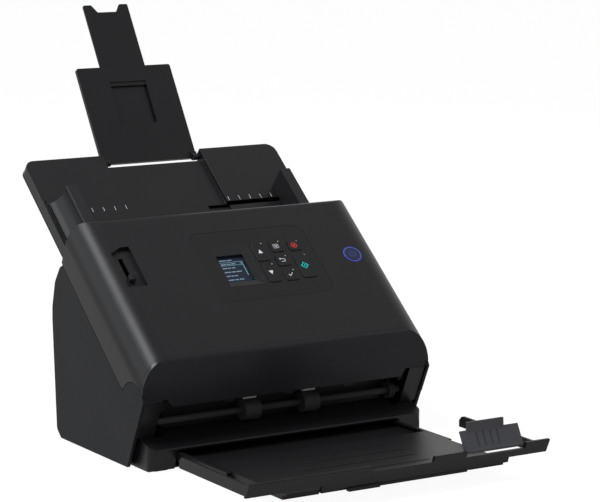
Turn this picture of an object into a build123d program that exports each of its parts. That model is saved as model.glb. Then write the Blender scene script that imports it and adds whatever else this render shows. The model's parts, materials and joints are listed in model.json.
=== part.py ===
from build123d import *
import math
import os

# Document scanner: each separate physical piece is its own solid and its own STEP file.
# Millimetres, +X to the right, the front faces -Y, +Z up, the desk is z = 0.
# Two frames are used. The row frame is plain x, y, z. The slab frame lies on the sloping
# front face: x across, s up the slope from the crease, d depth below the face.

# Overall sizes
HALF_WIDTH = 145.5
SLOPE_DEG = 39.1
CREASE_Y = -81.6
CREASE_Z = 97.0
PANEL_LENGTH = 166.0
WALL = 2.5

# Paper path, as depths below the sloping face
FRONT_GUIDE_D = 44.0
FRONT_GUIDE_BACK_D = 46.5
TRAY_FACE_D = 47.5
BASE_GUIDE_D = 48.5
BASE_GUIDE_BACK_D = 51.0

# Front unit hinge
HINGE_Y = -64.0
HINGE_Z = 56.0
EAR_RADIUS = 20.2
BARREL_RADIUS = 17.9
SWING_GAP = 0.5
HINGE_PIN_RADIUS = 4.0
RUNNING_GAP = 0.05
ARM_EYE_RADIUS = 9.0
ARM_THICKNESS = 5.0
PILLAR_WIDTH = 16.8
SIDE_PLATE = 3.0

# Gaps between pieces
FIT_GAP = 0.3
EDGE_RADIUS = 25.0

# Stations across the machine, from the outside to the paper path
INNER_HALF_WIDTH = HALF_WIDTH - SIDE_PLATE - FIT_GAP
PILLAR_OUTER_X = INNER_HALF_WIDTH
PILLAR_INNER_X = PILLAR_OUTER_X - PILLAR_WIDTH
ARM_OUTER_X = PILLAR_INNER_X - 1.4
ARM_INNER_X = ARM_OUTER_X - ARM_THICKNESS
FRAME_THICKNESS = 2.0
FRAME_INNER_X = PILLAR_INNER_X + 0.6
FRAME_OUTER_X = FRAME_INNER_X + FRAME_THICKNESS
PULLEY_START_X = FRAME_OUTER_X + 1.4
FLANGE = 0.6
PULLEY_FACE = 6.5
PULLEY_END_X = PULLEY_START_X + PULLEY_FACE + 2 * FLANGE
PATH_HALF_WIDTH = ARM_INNER_X - 6.8
SENSOR_HALF_WIDTH = PATH_HALF_WIDTH - 0.2
GLASS_HALF_WIDTH = SENSOR_HALF_WIDTH - 2.7
SENSOR_SLOT_HALF_WIDTH = GLASS_HALF_WIDTH - 0.8
SHELF_END_X = HALF_WIDTH - 6.9
PIN_END_X = HALF_WIDTH - 5.6

# Feed tray and its side guides
TRAY_HALF_WIDTH = HALF_WIDTH - 12.9
TRAY_LENGTH = 123.8
TRAY_START_S = PANEL_LENGTH - 8.0
TRAY_END_S = TRAY_START_S + TRAY_LENGTH
GUIDE_FACE_X = 107.0
GUIDE_BACK_X = GUIDE_FACE_X + 11.0
GUIDE_HEIGHT = 23.0
GUIDE_LENGTH = 69.0
GUIDE_END_S = TRAY_START_S + GUIDE_LENGTH
GUIDE_TRAVEL = 75.0
RACK_D = 54.9
RACK_BACK_D = 57.2
PINION_S = TRAY_START_S + 40.0
PINION_TEETH = 16
PINION_BORE = 2.5
MODULE = 1.0
BACKLASH = 0.4
GUIDE_LEG_S = {-1: PINION_S - 12.0, 1: PINION_S + 12.0}
TRAY_BACK_D = 57.4

# Paper support
SUPPORT_HINGE_S = TRAY_END_S - 4.8
SUPPORT_HINGE_D = 53.5
SUPPORT_SLOPE_DEG = 58.3
SUPPORT_LENGTH = 100.0
SUPPORT_HALF_WIDTH = 50.0
SUPPORT_FRONT = -1.9
SUPPORT_BACK = -5.6
EXTENSION_LENGTH = 87.0
EXTENSION_OVERLAP = 20.0
EXTENSION_HALF_WIDTH = 24.0

# Rollers: position up the slope, depth and tyre radius
FEED_S = 105.0
FEED_RADIUS = 12.0
DRIVE_S = 66.0
DRIVE_RADIUS = 10.0
EJECT_Y = -62.0
EJECT_Z = 39.6
EJECT_RADIUS = 9.0
SEPARATION_RADIUS = 9.0
ARM_PIVOT_S = 78.0
ARM_PIVOT_D = 31.0
UPPER_SENSOR_S = 22.0
LOWER_SENSOR_S = 46.0
PINCH_RADIUS = 5.0
SHAFT_RADIUS = 4.0
EJECT_SHAFT_RADIUS = 3.0
MOTOR_Y = 30.0
MOTOR_Z = 52.0
MOTOR_SIZE = 35.0
MOTOR_SHAFT_RADIUS = 2.4
OUTER_PULLEY_RADIUS = 7.0
INNER_PULLEY_RADIUS = 5.4
BELT_THICKNESS = 1.4
INNER_PULLEY_X = PATH_HALF_WIDTH + 1.2

# Rear wall: its top corner lies under the tray's face, and its ports stand on the board
REAR_SLOPE = math.radians(SLOPE_DEG)
REAR_Y = CREASE_Y + math.cos(REAR_SLOPE) * (PANEL_LENGTH - 11.5) + math.sin(REAR_SLOPE) * (TRAY_FACE_D - 3.0)
REAR_Z = CREASE_Z + math.sin(REAR_SLOPE) * (PANEL_LENGTH - 11.5) - math.cos(REAR_SLOPE) * (TRAY_FACE_D - 3.0)
BOARD_TOP_Z = 25.6
USB_X0 = 20.0
USB_X1 = 33.0
USB_Z0 = BOARD_TOP_Z + 0.4
USB_Z1 = USB_Z0 + 12.0
INLET_X = -53.0
INLET_Z = 32.0
INLET_RADIUS = 5.0

# Feet and base screws
FOOT_RADIUS = 6.9
FOOT_X = HALF_WIDTH - 11.5
FOOT_Y = REAR_Y + 1.6
FOOT_PLACES = ((-FOOT_X, -34.0), (FOOT_X, -34.0), (-FOOT_X, FOOT_Y), (FOOT_X, FOOT_Y))
SCREW_RADIUS = 1.5
SCREW_X = PILLAR_INNER_X - 5.4
SCREW_Y = REAR_Y - 6.4
SCREW_PLACES = ((-SCREW_X, -36.0), (-SCREW_X, SCREW_Y), (SCREW_X, -36.0), (SCREW_X, SCREW_Y))

# Eject tray
TRAY_FLOOR_Z = 14.5
TRAY_FLOOR_TOP_Z = 16.3
TRAY_CHANNEL_X = ARM_INNER_X - 6.4
RUNNER_HALF_WIDTH = TRAY_CHANNEL_X - 4.3
BAR_HALF_WIDTH = HALF_WIDTH + 1.5
BAR_BOTTOM_Y = -253.9
BAR_TOP_Y = -259.3
STOPPER_Y = -254.6
STOPPER_Z = 29.2
STOPPER_X0 = 63.0
STOPPER_X1 = 122.0

# Control panel, and what lies on it, up from its lower edge
PANEL_S1 = PANEL_LENGTH - 31.0
PANEL_S0 = PANEL_S1 - 81.0
KEYS = (
    ("up_key", 13.2, 25.6, PANEL_S0 + 42.0, PANEL_S0 + 64.0),
    ("down_key", 13.7, 25.5, PANEL_S0 + 17.0, PANEL_S0 + 39.0),
    ("menu_key", 32.0, 43.7, PANEL_S0 + 51.0, PANEL_S0 + 64.0),
    ("stop_key", 50.6, 62.3, PANEL_S0 + 50.8, PANEL_S0 + 62.5),
    ("back_key", 31.0, 43.3, PANEL_S0 + 34.3, PANEL_S0 + 47.0),
    ("ok_key", 31.5, 43.5, PANEL_S0 + 16.8, PANEL_S0 + 29.7),
    ("start_key", 49.5, 63.0, PANEL_S0 + 18.0, PANEL_S0 + 46.2),
)
KEY_RISE = 0.6
KEY_FLANGE = 0.9
KEY_BACK_D = 3.0
KEY_TRAVEL = 0.8
BOARD_D = 6.2
BOARD_BACK_D = 7.8
POWER_X = 110.8
POWER_S = PANEL_S0 + 39.5
POWER_RING_RADIUS = 8.9
POWER_CAP_RADIUS = 7.4
PANEL_X0 = -43.6
PANEL_X1 = 74.0
PANEL_PLATE = 1.6
PANEL_CORNER = 10.0
PANEL_SEAT_GAP = 0.2
PANEL_LEDGE = 4.0
SCREEN_X0 = -27.8
SCREEN_X1 = 8.5
SCREEN_S0 = PANEL_S0 + 16.0
SCREEN_S1 = PANEL_S0 + 63.0
SCREEN_RIM = 0.8
SCREEN_CORNER = 2.0
WINDOW_X0 = SCREEN_X0 + 2.3
WINDOW_X1 = SCREEN_X1 - 7.2
WINDOW_S0 = SCREEN_S0 + 6.1
WINDOW_S1 = SCREEN_S0 + 37.5
BEVEL_D = 1.0
WINDOW_D = 4.0
WINDOW_BACK_D = 5.0
LEVER_X = -115.8
LEVER_S = PANEL_S0 + 50.5
LEVER_D = 32.0
LEVER_POCKET_DEPTH = 3.6

COS_SLOPE = math.cos(math.radians(SLOPE_DEG))
SIN_SLOPE = math.sin(math.radians(SLOPE_DEG))
SLAB = Plane(origin=(0, CREASE_Y, CREASE_Z), x_dir=(1, 0, 0), z_dir=(0, -SIN_SLOPE, COS_SLOPE))


def slab_point(s, d):
    """Row (y, z) of a point given in the slab frame."""
    return (CREASE_Y + COS_SLOPE * s + SIN_SLOPE * d, CREASE_Z + SIN_SLOPE * s - COS_SLOPE * d)


def box(x0, x1, y0, y1, z0, z1):
    """Box between two corners in the row frame."""
    return Pos((x0 + x1) / 2, (y0 + y1) / 2, (z0 + z1) / 2) * Box(x1 - x0, y1 - y0, z1 - z0)


def slab_box(x0, x1, s0, s1, d0, d1):
    """Box between two corners in the slab frame."""
    return SLAB * box(x0, x1, s0, s1, -d1, -d0)


def slab_round_box(x0, x1, s0, s1, d0, d1, radius):
    """Slab box with its four upright edges rounded."""
    outline = Pos((x0 + x1) / 2, (s0 + s1) / 2) * RectangleRounded(x1 - x0, s1 - s0, radius)
    return SLAB * Pos(0, 0, -d1) * extrude(outline, d1 - d0)


def slab_cylinder(x, s, d0, d1, radius):
    """Round rod square to the sloping face."""
    return SLAB * Pos(x, s, -d1) * extrude(Circle(radius), d1 - d0)


def slab_funnel(wide, d0, narrow, d1):
    """Block under the sloping face that narrows from one oblong at d0 to another at d1."""
    faces = []
    for (x0, x1, s0, s1), d in ((wide, d0), (narrow, d1)):
        faces.append(SLAB * Pos((x0 + x1) / 2, (s0 + s1) / 2, -d) * Rectangle(x1 - x0, s1 - s0))
    return loft(Sketch() + faces, ruled=True)


def profile(x0, x1, points, radii=None):
    """Prism along X of a (y, z) outline, with rounded corners where radii says."""
    if radii:
        line = FilletPolyline(*points, radius=radii, close=True)
    else:
        line = Polyline(*points, close=True)
    return Pos(x0, 0, 0) * extrude(Plane.YZ * make_face(line), x1 - x0)


def disc(x0, x1, y, z, radius):
    """Round rod along X."""
    return Pos(x0, y, z) * extrude(Plane.YZ * Circle(radius), x1 - x0)


def slab_disc(x0, x1, s, d, radius):
    """Round rod along X placed by its slab position."""
    y, z = slab_point(s, d)
    return disc(x0, x1, y, z, radius)


def both_sides(solid):
    """A solid and its mirror image in the middle plane, as one list."""
    return [solid, mirror(solid, about=Plane.YZ)]


def fuse(*solids):
    """One solid out of touching ones."""
    result = solids[0]
    for other in solids[1:]:
        result = result + other
    return result


def cut(solid, *tools):
    """A solid less each tool in turn."""
    for tool in tools:
        solid = solid - tool
    return solid


# Roller centres in the row frame
FEED_D = TRAY_FACE_D + FEED_RADIUS - 0.15
DRIVE_D = TRAY_FACE_D + DRIVE_RADIUS + 0.2
FEED_Y, FEED_Z = slab_point(FEED_S, FEED_D)
DRIVE_Y, DRIVE_Z = slab_point(DRIVE_S, DRIVE_D)
SEPARATION_D = FEED_D - FEED_RADIUS - SEPARATION_RADIUS - FIT_GAP
PINCH_D = DRIVE_D - DRIVE_RADIUS - PINCH_RADIUS - FIT_GAP
EJECT_PINCH_RADIUS = 3.0
EJECT_PINCH_Z = EJECT_Z + EJECT_RADIUS + EJECT_PINCH_RADIUS + FIT_GAP


# Pieces of the front unit
def front_unit_shape(inset):
    """Outside of the front unit, or its hollow when inset is the wall thickness."""
    half = HALF_WIDTH - inset
    if inset:
        points = [
            (CREASE_Y + inset, 96.1),
            slab_point(PANEL_LENGTH - 3.3, inset),
            slab_point(PANEL_LENGTH - 17.0, 54.0),
            slab_point(-60.0, 54.0),
            (CREASE_Y + inset, 30.0),
        ]
        body = profile(-half, half, points)
    else:
        points = [
            (CREASE_Y, CREASE_Z),
            slab_point(PANEL_LENGTH, 0),
            slab_point(PANEL_LENGTH - 12.0, 43.7),
            slab_point(14.0, 46.0),
            (HINGE_Y, HINGE_Z),
            (HINGE_Y, 55.5),
            (CREASE_Y, 55.5),
        ]
        body = profile(-half, half, points, [6.0, 7.0, 0, 0, 0, 0, 0])
    radius = EDGE_RADIUS - inset
    across = make_face(FilletPolyline(
        (-half, -120), (-half, -inset), (half, -inset), (half, -120),
        radius=[0, radius, radius, 0], close=True))
    plane = Plane(origin=(0, CREASE_Y, CREASE_Z), x_dir=(1, 0, 0), z_dir=(0, -COS_SLOPE, -SIN_SLOPE))
    rounded = plane.offset(-230) * extrude(across, 400)
    return body & rounded


def front_unit_trims():
    """Room for the ears, the pillar barrels and the bottom corners."""
    wide = HALF_WIDTH + 14.5
    trims = []
    for side in (-1, 1):
        outer = sorted((side * INNER_HALF_WIDTH, side * wide))
        inner = sorted((side * (PILLAR_INNER_X - 0.6), side * wide))
        corner = sorted((side * (ARM_INNER_X + 2.0), side * wide))
        trims.append(disc(outer[0], outer[1], HINGE_Y, HINGE_Z, EAR_RADIUS + SWING_GAP))
        trims.append(disc(inner[0], inner[1], HINGE_Y, HINGE_Z, BARREL_RADIUS + SWING_GAP))
        trims.append(box(corner[0], corner[1], -90, -60, 40, 62.4))
        wedge = make_face(Polyline(
            (side * (ARM_INNER_X - 3.2), 55.0),
            (side * (ARM_INNER_X - 3.2), 55.8),
            (side * (ARM_INNER_X + 2.2), 62.4),
            (side * (ARM_INNER_X + 2.2), 55.0),
            close=True))
        trims.append(Pos(0, -60, 0) * extrude(Plane.XZ * wedge, 30))
    return trims


def lever_pocket():
    """Sunk slot for the lever, with a stepped top corner."""
    x = LEVER_X
    s = LEVER_S
    deep = LEVER_POCKET_DEPTH
    main = slab_box(x - 7.8, x + 11.6, s - 22.1, s + 18.3, -1, deep)
    step = slab_box(x + 3.3, x + 11.6, s + 17.5, s + 23.6, -1, deep)
    corner = make_face(Polyline((x - 6.8, s + 18.1), (x + 3.3, s + 23.6), (x + 3.4, s + 18.1), close=True))
    return fuse(main, step, SLAB * Pos(0, 0, -deep) * extrude(corner, deep + 1.0))


def make_front_cover():
    behind = box(-200, 200, CREASE_Y + WALL + 0.15, 150, 0, 260)
    shell = front_unit_shape(0) & behind
    shell = shell - front_unit_shape(WALL)
    shell = cut(shell, *front_unit_trims())
    x = LEVER_X
    s = LEVER_S
    pocket_wall = slab_box(x - 10.2, x + 13.8, s - 24.5, s + 26.0, WALL - 0.2, LEVER_POCKET_DEPTH + 2.0)
    shell = shell + pocket_wall
    shell = shell - lever_pocket()
    shell = shell - slab_box(x - 2.2, x + 2.2, s - 13.5, s + 13.5, 2.0, LEVER_POCKET_DEPTH + 4.4)
    gap = PANEL_SEAT_GAP
    ledge = PANEL_LEDGE
    x0, x1, s0, s1 = PANEL_X0, PANEL_X1, PANEL_S0, PANEL_S1
    seat = slab_round_box(x0 - gap, x1 + gap, s0 - gap, s1 + gap, -1, PANEL_PLATE, PANEL_CORNER + gap)
    hole = slab_round_box(x0 + ledge, x1 - ledge, s0 + ledge, s1 - ledge, -1, 8, PANEL_CORNER - ledge)
    shell = shell - seat - hole
    shell = shell - slab_cylinder(POWER_X, POWER_S, -1, 8, POWER_RING_RADIUS + 0.1)
    for x in (-90.0, -20.0, 60.0, 125.0):
        for s in (30.0, PANEL_LENGTH - 24.0):
            shell = shell + slab_cylinder(x, s, WALL - 0.3, 12.0, 3.5)
    for side in (-1, 1):
        for s in (40.0, 100.0):
            lo, hi = sorted((side * (HALF_WIDTH - 4.5), side * (HALF_WIDTH - WALL + 0.4)))
            shell = shell + slab_box(lo, hi, s - 1, s + 1, 26.0, FRONT_GUIDE_D - 0.3)
    return shell


def make_front_lower_cover():
    plate = front_unit_shape(0) & box(-200, 200, -90, CREASE_Y + WALL, 0, 260)
    plate = cut(plate, *front_unit_trims())
    for x in (-60.0, 0.0, 60.0):
        plate = plate + box(x - 5, x + 5, CREASE_Y + 1.4, CREASE_Y + 3.6, 53.0, 60.0)
    for x in (-95.0, -32.0, 32.0, 95.0):
        plate = plate + box(x - 1, x + 1, CREASE_Y + 2.0, CREASE_Y + 9.0, 60.0, 88.0)
    return plate


def make_control_panel():
    plate = slab_round_box(PANEL_X0, PANEL_X1, PANEL_S0, PANEL_S1, 0.05, PANEL_PLATE, PANEL_CORNER)
    for _, x0, x1, s0, s1 in KEYS:
        hole = slab_round_box(x0 - FIT_GAP, x1 + FIT_GAP, s0 - FIT_GAP, s1 + FIT_GAP, -1, 4, 1.8)
        plate = plate - hole
    x0, x1, s0, s1 = SCREEN_X0 - 0.1, SCREEN_X1 + 0.1, SCREEN_S0 - 0.1, SCREEN_S1 + 0.1
    return plate - slab_round_box(x0, x1, s0, s1, -1, 4, SCREEN_CORNER + 0.1)


def make_screen_module():
    x0, x1, s0, s1 = SCREEN_X0, SCREEN_X1, SCREEN_S0, SCREEN_S1
    bezel = slab_round_box(x0, x1, s0, s1, 0.05, BOARD_D - 0.05, SCREEN_CORNER)
    rim = SCREEN_RIM
    funnel = slab_funnel(
        (x0 + rim, x1 - rim, s0 + rim, s1 - rim), 0.05, (WINDOW_X0, WINDOW_X1, WINDOW_S0, WINDOW_S1), BEVEL_D
    )
    return bezel - funnel - slab_box(WINDOW_X0, WINDOW_X1, WINDOW_S0, WINDOW_S1, -1, WINDOW_BACK_D)


def make_screen_window():
    x0, x1, s0, s1 = WINDOW_X0 + 0.1, WINDOW_X1 - 0.1, WINDOW_S0 + 0.1, WINDOW_S1 - 0.1
    return slab_box(x0, x1, s0, s1, WINDOW_D, WINDOW_BACK_D)


def make_key(x0, x1, s0, s1):
    rim = KEY_FLANGE
    cap = slab_round_box(x0, x1, s0, s1, -KEY_RISE, KEY_BACK_D, 1.6)
    flange = slab_box(x0 - rim, x1 + rim, s0 - rim, s1 + rim, PANEL_PLATE + 0.2, KEY_BACK_D)
    return cap + flange


def make_power_button():
    cap = slab_cylinder(POWER_X, POWER_S, -0.8, 4.0, POWER_CAP_RADIUS)
    return cap + slab_cylinder(POWER_X, POWER_S, 3.2, 4.0, POWER_CAP_RADIUS + 1.2)


def make_power_light_ring():
    ring = slab_cylinder(POWER_X, POWER_S, -0.4, 2.8, POWER_RING_RADIUS)
    return ring - slab_cylinder(POWER_X, POWER_S, -2, 6, POWER_CAP_RADIUS + FIT_GAP)


def make_panel_board():
    board = slab_box(PANEL_X0 + 3.6, POWER_X + 15.2, PANEL_S0 + 6, PANEL_S1 - 13, BOARD_D, BOARD_BACK_D)
    for _, x0, x1, s0, s1 in KEYS:
        x = (x0 + x1) / 2
        s = (s0 + s1) / 2
        board = board + slab_box(x - 3, x + 3, s - 3, s + 3, KEY_BACK_D + KEY_TRAVEL + 0.4, BOARD_D + 0.2)
    return board + slab_box(POWER_X - 3, POWER_X + 3, POWER_S - 3, POWER_S + 3, 5.2, BOARD_D + 0.2)


def make_feed_mode_lever():
    hub = slab_disc(LEVER_X - 3, LEVER_X + 3, LEVER_S, LEVER_D, 5.0)
    hub = hub - slab_disc(LEVER_X - 9, LEVER_X + 9, LEVER_S, LEVER_D, 2.0 + RUNNING_GAP)
    y, z = slab_point(LEVER_S, LEVER_D)
    lean = 20.0
    arm = Pos(LEVER_X, 0, 4.0 + (LEVER_D - 4.0) / 2) * Box(2.6, 5.0, LEVER_D - 4.0)
    knob = Pos(LEVER_X + 1.3, 0, LEVER_D + 2.1) * Box(6.4, 5.0, 5.0)
    stick = arm + knob
    turned = Rot(lean, 0, 0) * stick
    placed = SLAB * Pos(0, LEVER_S, -LEVER_D) * turned
    return hub + placed


def make_front_inner_guide():
    plate = slab_box(-ARM_OUTER_X, ARM_OUTER_X, -4.0, PANEL_LENGTH - 15, FRONT_GUIDE_D, FRONT_GUIDE_BACK_D)
    wing = INNER_HALF_WIDTH - 0.2
    plate = plate + slab_box(-wing, wing, 24.0, PANEL_LENGTH - 18, FRONT_GUIDE_D, FRONT_GUIDE_BACK_D)
    reach = SEPARATION_RADIUS + 4.0
    plate = plate - slab_box(-12.0, 12.0, FEED_S - reach, FEED_S + reach, 40, 50)
    plate = plate - slab_box(-52.5, 52.5, DRIVE_S - 2.6, DRIVE_S + 2.6, 40, 44.9)
    slot = GLASS_HALF_WIDTH + 0.2
    plate = plate - slab_box(-slot, slot, UPPER_SENSOR_S - 4.5, UPPER_SENSOR_S + 4.5, 40, 50)
    for side in (-1, 1):
        lo, hi = sorted((side * 28.0, side * 52.0))
        plate = plate - slab_box(lo, hi, DRIVE_S - PINCH_RADIUS - 2, DRIVE_S + PINCH_RADIUS + 2, 40, 50)
        lo, hi = sorted((side * ARM_INNER_X, side * ARM_OUTER_X))
        eye = disc(lo, hi, HINGE_Y, HINGE_Z, ARM_EYE_RADIUS)
        arm = profile(lo, hi, [
            (HINGE_Y - 3.0, HINGE_Z + 8.2),
            slab_point(8.0, 30.0),
            slab_point(60.0, 34.0),
            slab_point(60.0, FRONT_GUIDE_BACK_D),
            slab_point(0.0, FRONT_GUIDE_BACK_D),
            (HINGE_Y, HINGE_Z)])
        plate = fuse(plate, eye, arm)
        plate = plate - disc(lo - 1, hi + 1, HINGE_Y, HINGE_Z, HINGE_PIN_RADIUS + RUNNING_GAP)
        lo, hi = sorted((side * 53.0, side * 56.0))
        bracket = profile(lo, hi, [
            slab_point(DRIVE_S - 6, FRONT_GUIDE_D + 1),
            slab_point(DRIVE_S - 6, PINCH_D - 6.4),
            slab_point(DRIVE_S + 6, PINCH_D - 6.4),
            slab_point(DRIVE_S + 6, FRONT_GUIDE_D + 1)])
        plate = plate + bracket - slab_disc(lo - 1, hi + 1, DRIVE_S, PINCH_D, 2.0 + RUNNING_GAP)
        lo, hi = sorted((side * 40.0, side * 43.0))
        plate = plate + profile(lo, hi, [
            slab_point(0, FRONT_GUIDE_D + 1),
            slab_point(0, 38),
            (HINGE_Y - 4.0, HINGE_Z + 4.0),
            (HINGE_Y - 3.0, EJECT_PINCH_Z - 2.5),
            (HINGE_Y + 5.0, EJECT_PINCH_Z - 1.0),
            slab_point(-2.0, FRONT_GUIDE_BACK_D)])
        plate = plate - disc(lo - 1, hi + 1, EJECT_Y, EJECT_PINCH_Z, 1.2 + RUNNING_GAP)
    for side in (-1, 1):
        lo, hi = sorted((side * 18.0, side * 21.0))
        post = slab_box(lo, hi, ARM_PIVOT_S - 4, ARM_PIVOT_S + 4, ARM_PIVOT_D - 5, FRONT_GUIDE_D + 1)
        plate = plate + post - slab_disc(lo - 1, hi + 1, ARM_PIVOT_S, ARM_PIVOT_D, 2.0 + RUNNING_GAP)
    for x0 in (LEVER_X - 8.0, LEVER_X + 4.0):
        post = slab_box(x0, x0 + 3.0, LEVER_S - 5, LEVER_S + 5, LEVER_D - 5, FRONT_GUIDE_D + 1)
        plate = plate + post
    return plate + slab_disc(LEVER_X - 6, LEVER_X + 6, LEVER_S, LEVER_D, 2.0)


def make_upper_image_sensor():
    s = UPPER_SENSOR_S
    body = slab_box(-SENSOR_HALF_WIDTH, SENSOR_HALF_WIDTH, s - 8, s + 8, 32.0, FRONT_GUIDE_D)
    slot = SENSOR_SLOT_HALF_WIDTH
    return body - slab_box(-slot, slot, s - 3.5, s + 3.5, 36.0, 46.0)


def make_upper_sensor_glass():
    half = GLASS_HALF_WIDTH
    s = UPPER_SENSOR_S
    return slab_box(-half, half, s - 4.3, s + 4.3, FRONT_GUIDE_D + 0.1, FRONT_GUIDE_BACK_D - 0.2)


def make_separation_arm():
    arm = None
    for side in (-1, 1):
        lo, hi = sorted((side * 12.0, side * 15.0))
        plate = profile(lo, hi, [
            slab_point(ARM_PIVOT_S - 4, 28),
            slab_point(FEED_S + 5, 30),
            slab_point(FEED_S + 5, SEPARATION_D + 2.95),
            slab_point(FEED_S - 5, SEPARATION_D + 2.95),
            slab_point(ARM_PIVOT_S - 4, 34)])
        plate = plate - slab_disc(lo - 1, hi + 1, FEED_S, SEPARATION_D, 2.0 + RUNNING_GAP)
        arm = plate if arm is None else arm + plate
    arm = arm + slab_box(-15.0, 15.0, 84.0, 90.0, 29.2, 31.6)
    return arm + slab_disc(-22.0, 22.0, ARM_PIVOT_S, ARM_PIVOT_D, 2.0)


def make_separation_roller():
    tyre = slab_disc(-10.0, 10.0, FEED_S, SEPARATION_D, SEPARATION_RADIUS)
    return tyre + slab_disc(-15.0, 15.0, FEED_S, SEPARATION_D, 2.0)


def make_upper_pinch_rollers():
    roller = slab_disc(-56.0, 56.0, DRIVE_S, PINCH_D, 2.0)
    for side in (-1, 1):
        lo, hi = sorted((side * 30.0, side * 50.0))
        roller = roller + slab_disc(lo, hi, DRIVE_S, PINCH_D, PINCH_RADIUS)
    return roller


def make_eject_pinch_rollers():
    roller = disc(-43.0, 43.0, EJECT_Y, EJECT_PINCH_Z, 1.2)
    for side in (-1, 1):
        lo, hi = sorted((side * 24.0, side * 36.0))
        roller = roller + disc(lo, hi, EJECT_Y, EJECT_PINCH_Z, EJECT_PINCH_RADIUS)
    return roller


# Pieces of the base
def front_lean_cutter(foot_y, top_y, top_z):
    """Everything in front of a leaning line from the desk up to the ear."""
    slope = (top_y - foot_y) / top_z
    wide = HALF_WIDTH + 14.5
    return profile(-wide, wide, [
        (foot_y, 0), (foot_y + slope * 110, 110), (-200, 110), (-200, 0)])


def make_side_cover():
    outline = [
        (-53.5, 1.0), (-82.8, 62.4), (-70.0, HINGE_Z + 1), (HINGE_Y, HINGE_Z - 1.0),
        slab_point(14.3, 46.9),
        (REAR_Y, REAR_Z),
        (REAR_Y + 13.14, REAR_Z - 18.41),
        (REAR_Y + 19.14, REAR_Z - 41.91),
        (REAR_Y + 19.44, REAR_Z - 54.21), (REAR_Y + 13.64, 8.0), (REAR_Y + 5.64, 1.0)]
    radii = [0, 0, 0, 0, 0, 6.0, 12.0, 12.0, 12.0, 6.0, 0]
    plate = profile(HALF_WIDTH - SIDE_PLATE, HALF_WIDTH, outline, radii)
    plate = plate + disc(HALF_WIDTH - SIDE_PLATE, HALF_WIDTH, HINGE_Y, HINGE_Z, EAR_RADIUS)
    return plate - front_lean_cutter(-53.5, -82.8, 61.4)


def make_pillar():
    post = profile(PILLAR_INNER_X, PILLAR_OUTER_X, [
        (-52.3, 1.2),
        (-80.8, 60.6),
        (HINGE_Y, HINGE_Z),
        (-46.6, HINGE_Z),
        (-42.0, 30.0),
        (-42.0, 4.2),
        (-44.0, 4.2),
        (-44.0, 1.2)])
    post = post + disc(PILLAR_INNER_X, PILLAR_OUTER_X, HINGE_Y, HINGE_Z, BARREL_RADIUS)
    post = post - front_lean_cutter(-51.9, -81.0, 61.0)
    post = post - box(SHELF_END_X + FIT_GAP, HALF_WIDTH, -100, 0, 0, 28.3)
    post = post - disc(PILLAR_INNER_X - 1, PIN_END_X + 0.1, HINGE_Y, HINGE_Z, HINGE_PIN_RADIUS)
    bore = EJECT_SHAFT_RADIUS + RUNNING_GAP
    return post - disc(PILLAR_INNER_X - 1, PILLAR_INNER_X + 5.6, EJECT_Y, EJECT_Z, bore)


def make_hinge_pins():
    return both_sides(disc(ARM_INNER_X - 0.4, PIN_END_X, HINGE_Y, HINGE_Z, HINGE_PIN_RADIUS))


def make_exit_shelf():
    top = [(-55.0, 31.0), (-83.5, 20.4), (-84.0, 19.0), (-83.3, 17.3), (-55.0, 17.3)]
    half = ARM_INNER_X - 2.0
    hollow = half - 6.0
    shelf = profile(-half, half, top)
    shelf = shelf - profile(-hollow, hollow, [(-54.0, 28.6), (-78.0, 19.6), (-54.0, 19.6)])
    for side in (-1, 1):
        lo, hi = sorted((side * (TRAY_CHANNEL_X + 0.6), side * SHELF_END_X))
        block = profile(lo, hi, [
            (-65.6, 27.1), (-83.5, 20.4), (-84.0, 19.0), (-78.3, 1.0), (-53.2, 1.0)])
        corner = side * SHELF_END_X
        cutter = box(min(corner, corner - side * 9), max(corner, corner - side * 9), -88, -75, 0, 32)
        cutter = cutter - Pos(corner - side * 9, -75, 0) * extrude(Circle(9), 40)
        shelf = shelf + (block - cutter)
    return shelf


def make_base_pan():
    tongue = TRAY_CHANNEL_X + 0.4
    pan = box(-INNER_HALF_WIDTH, INNER_HALF_WIDTH, -43.8, REAR_Y + 12.1, 1.2, 4.0)
    pan = pan + box(-tongue, tongue, -76.0, -43.0, 1.2, 3.0)
    for x in (-90.0, 0.0, 90.0):
        pan = pan + box(x - 6, x + 6, -74.0, REAR_Y - 6.4, 3.0, 7.7)
    for x, y in SCREW_PLACES:
        pan = pan - Pos(x, y, 0) * extrude(Circle(1.7), 10)
        pan = pan - Pos(x, y, 0) * extrude(Circle(3.3), 2.8)
    for x, y in FOOT_PLACES:
        pan = pan - Pos(x, y, 0) * extrude(Circle(FOOT_RADIUS + 0.1), 2.2)
    return pan


def make_rubber_feet():
    feet = [Pos(x, y, 0) * extrude(Circle(FOOT_RADIUS), 2.2) for x, y in FOOT_PLACES]
    for side in (-1, 1):
        x = side * (SHELF_END_X - 13.6)
        feet.append(box(x - 6, x + 6, -76.0, -62.0, 0, 1.0))
    return feet


def make_base_screws():
    screws = []
    for x, y in SCREW_PLACES:
        head = Pos(x, y, 1.4) * extrude(Circle(2.9), 1.4)
        screws.append(head + Pos(x, y, 1.4) * extrude(Circle(SCREW_RADIUS), 12.0))
    return screws


def make_middle_deck():
    half = PILLAR_INNER_X - 0.2
    deck = box(-half, half, -44.0, REAR_Y + 5.6, 17.4, 19.4)
    for x, y in SCREW_PLACES:
        post = box(x - 5, x + 5, y - 5, y + 5, 4.0, 18.0)
        deck = deck + post - Pos(x, y, 0) * extrude(Circle(SCREW_RADIUS), 15)
    return deck


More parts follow.
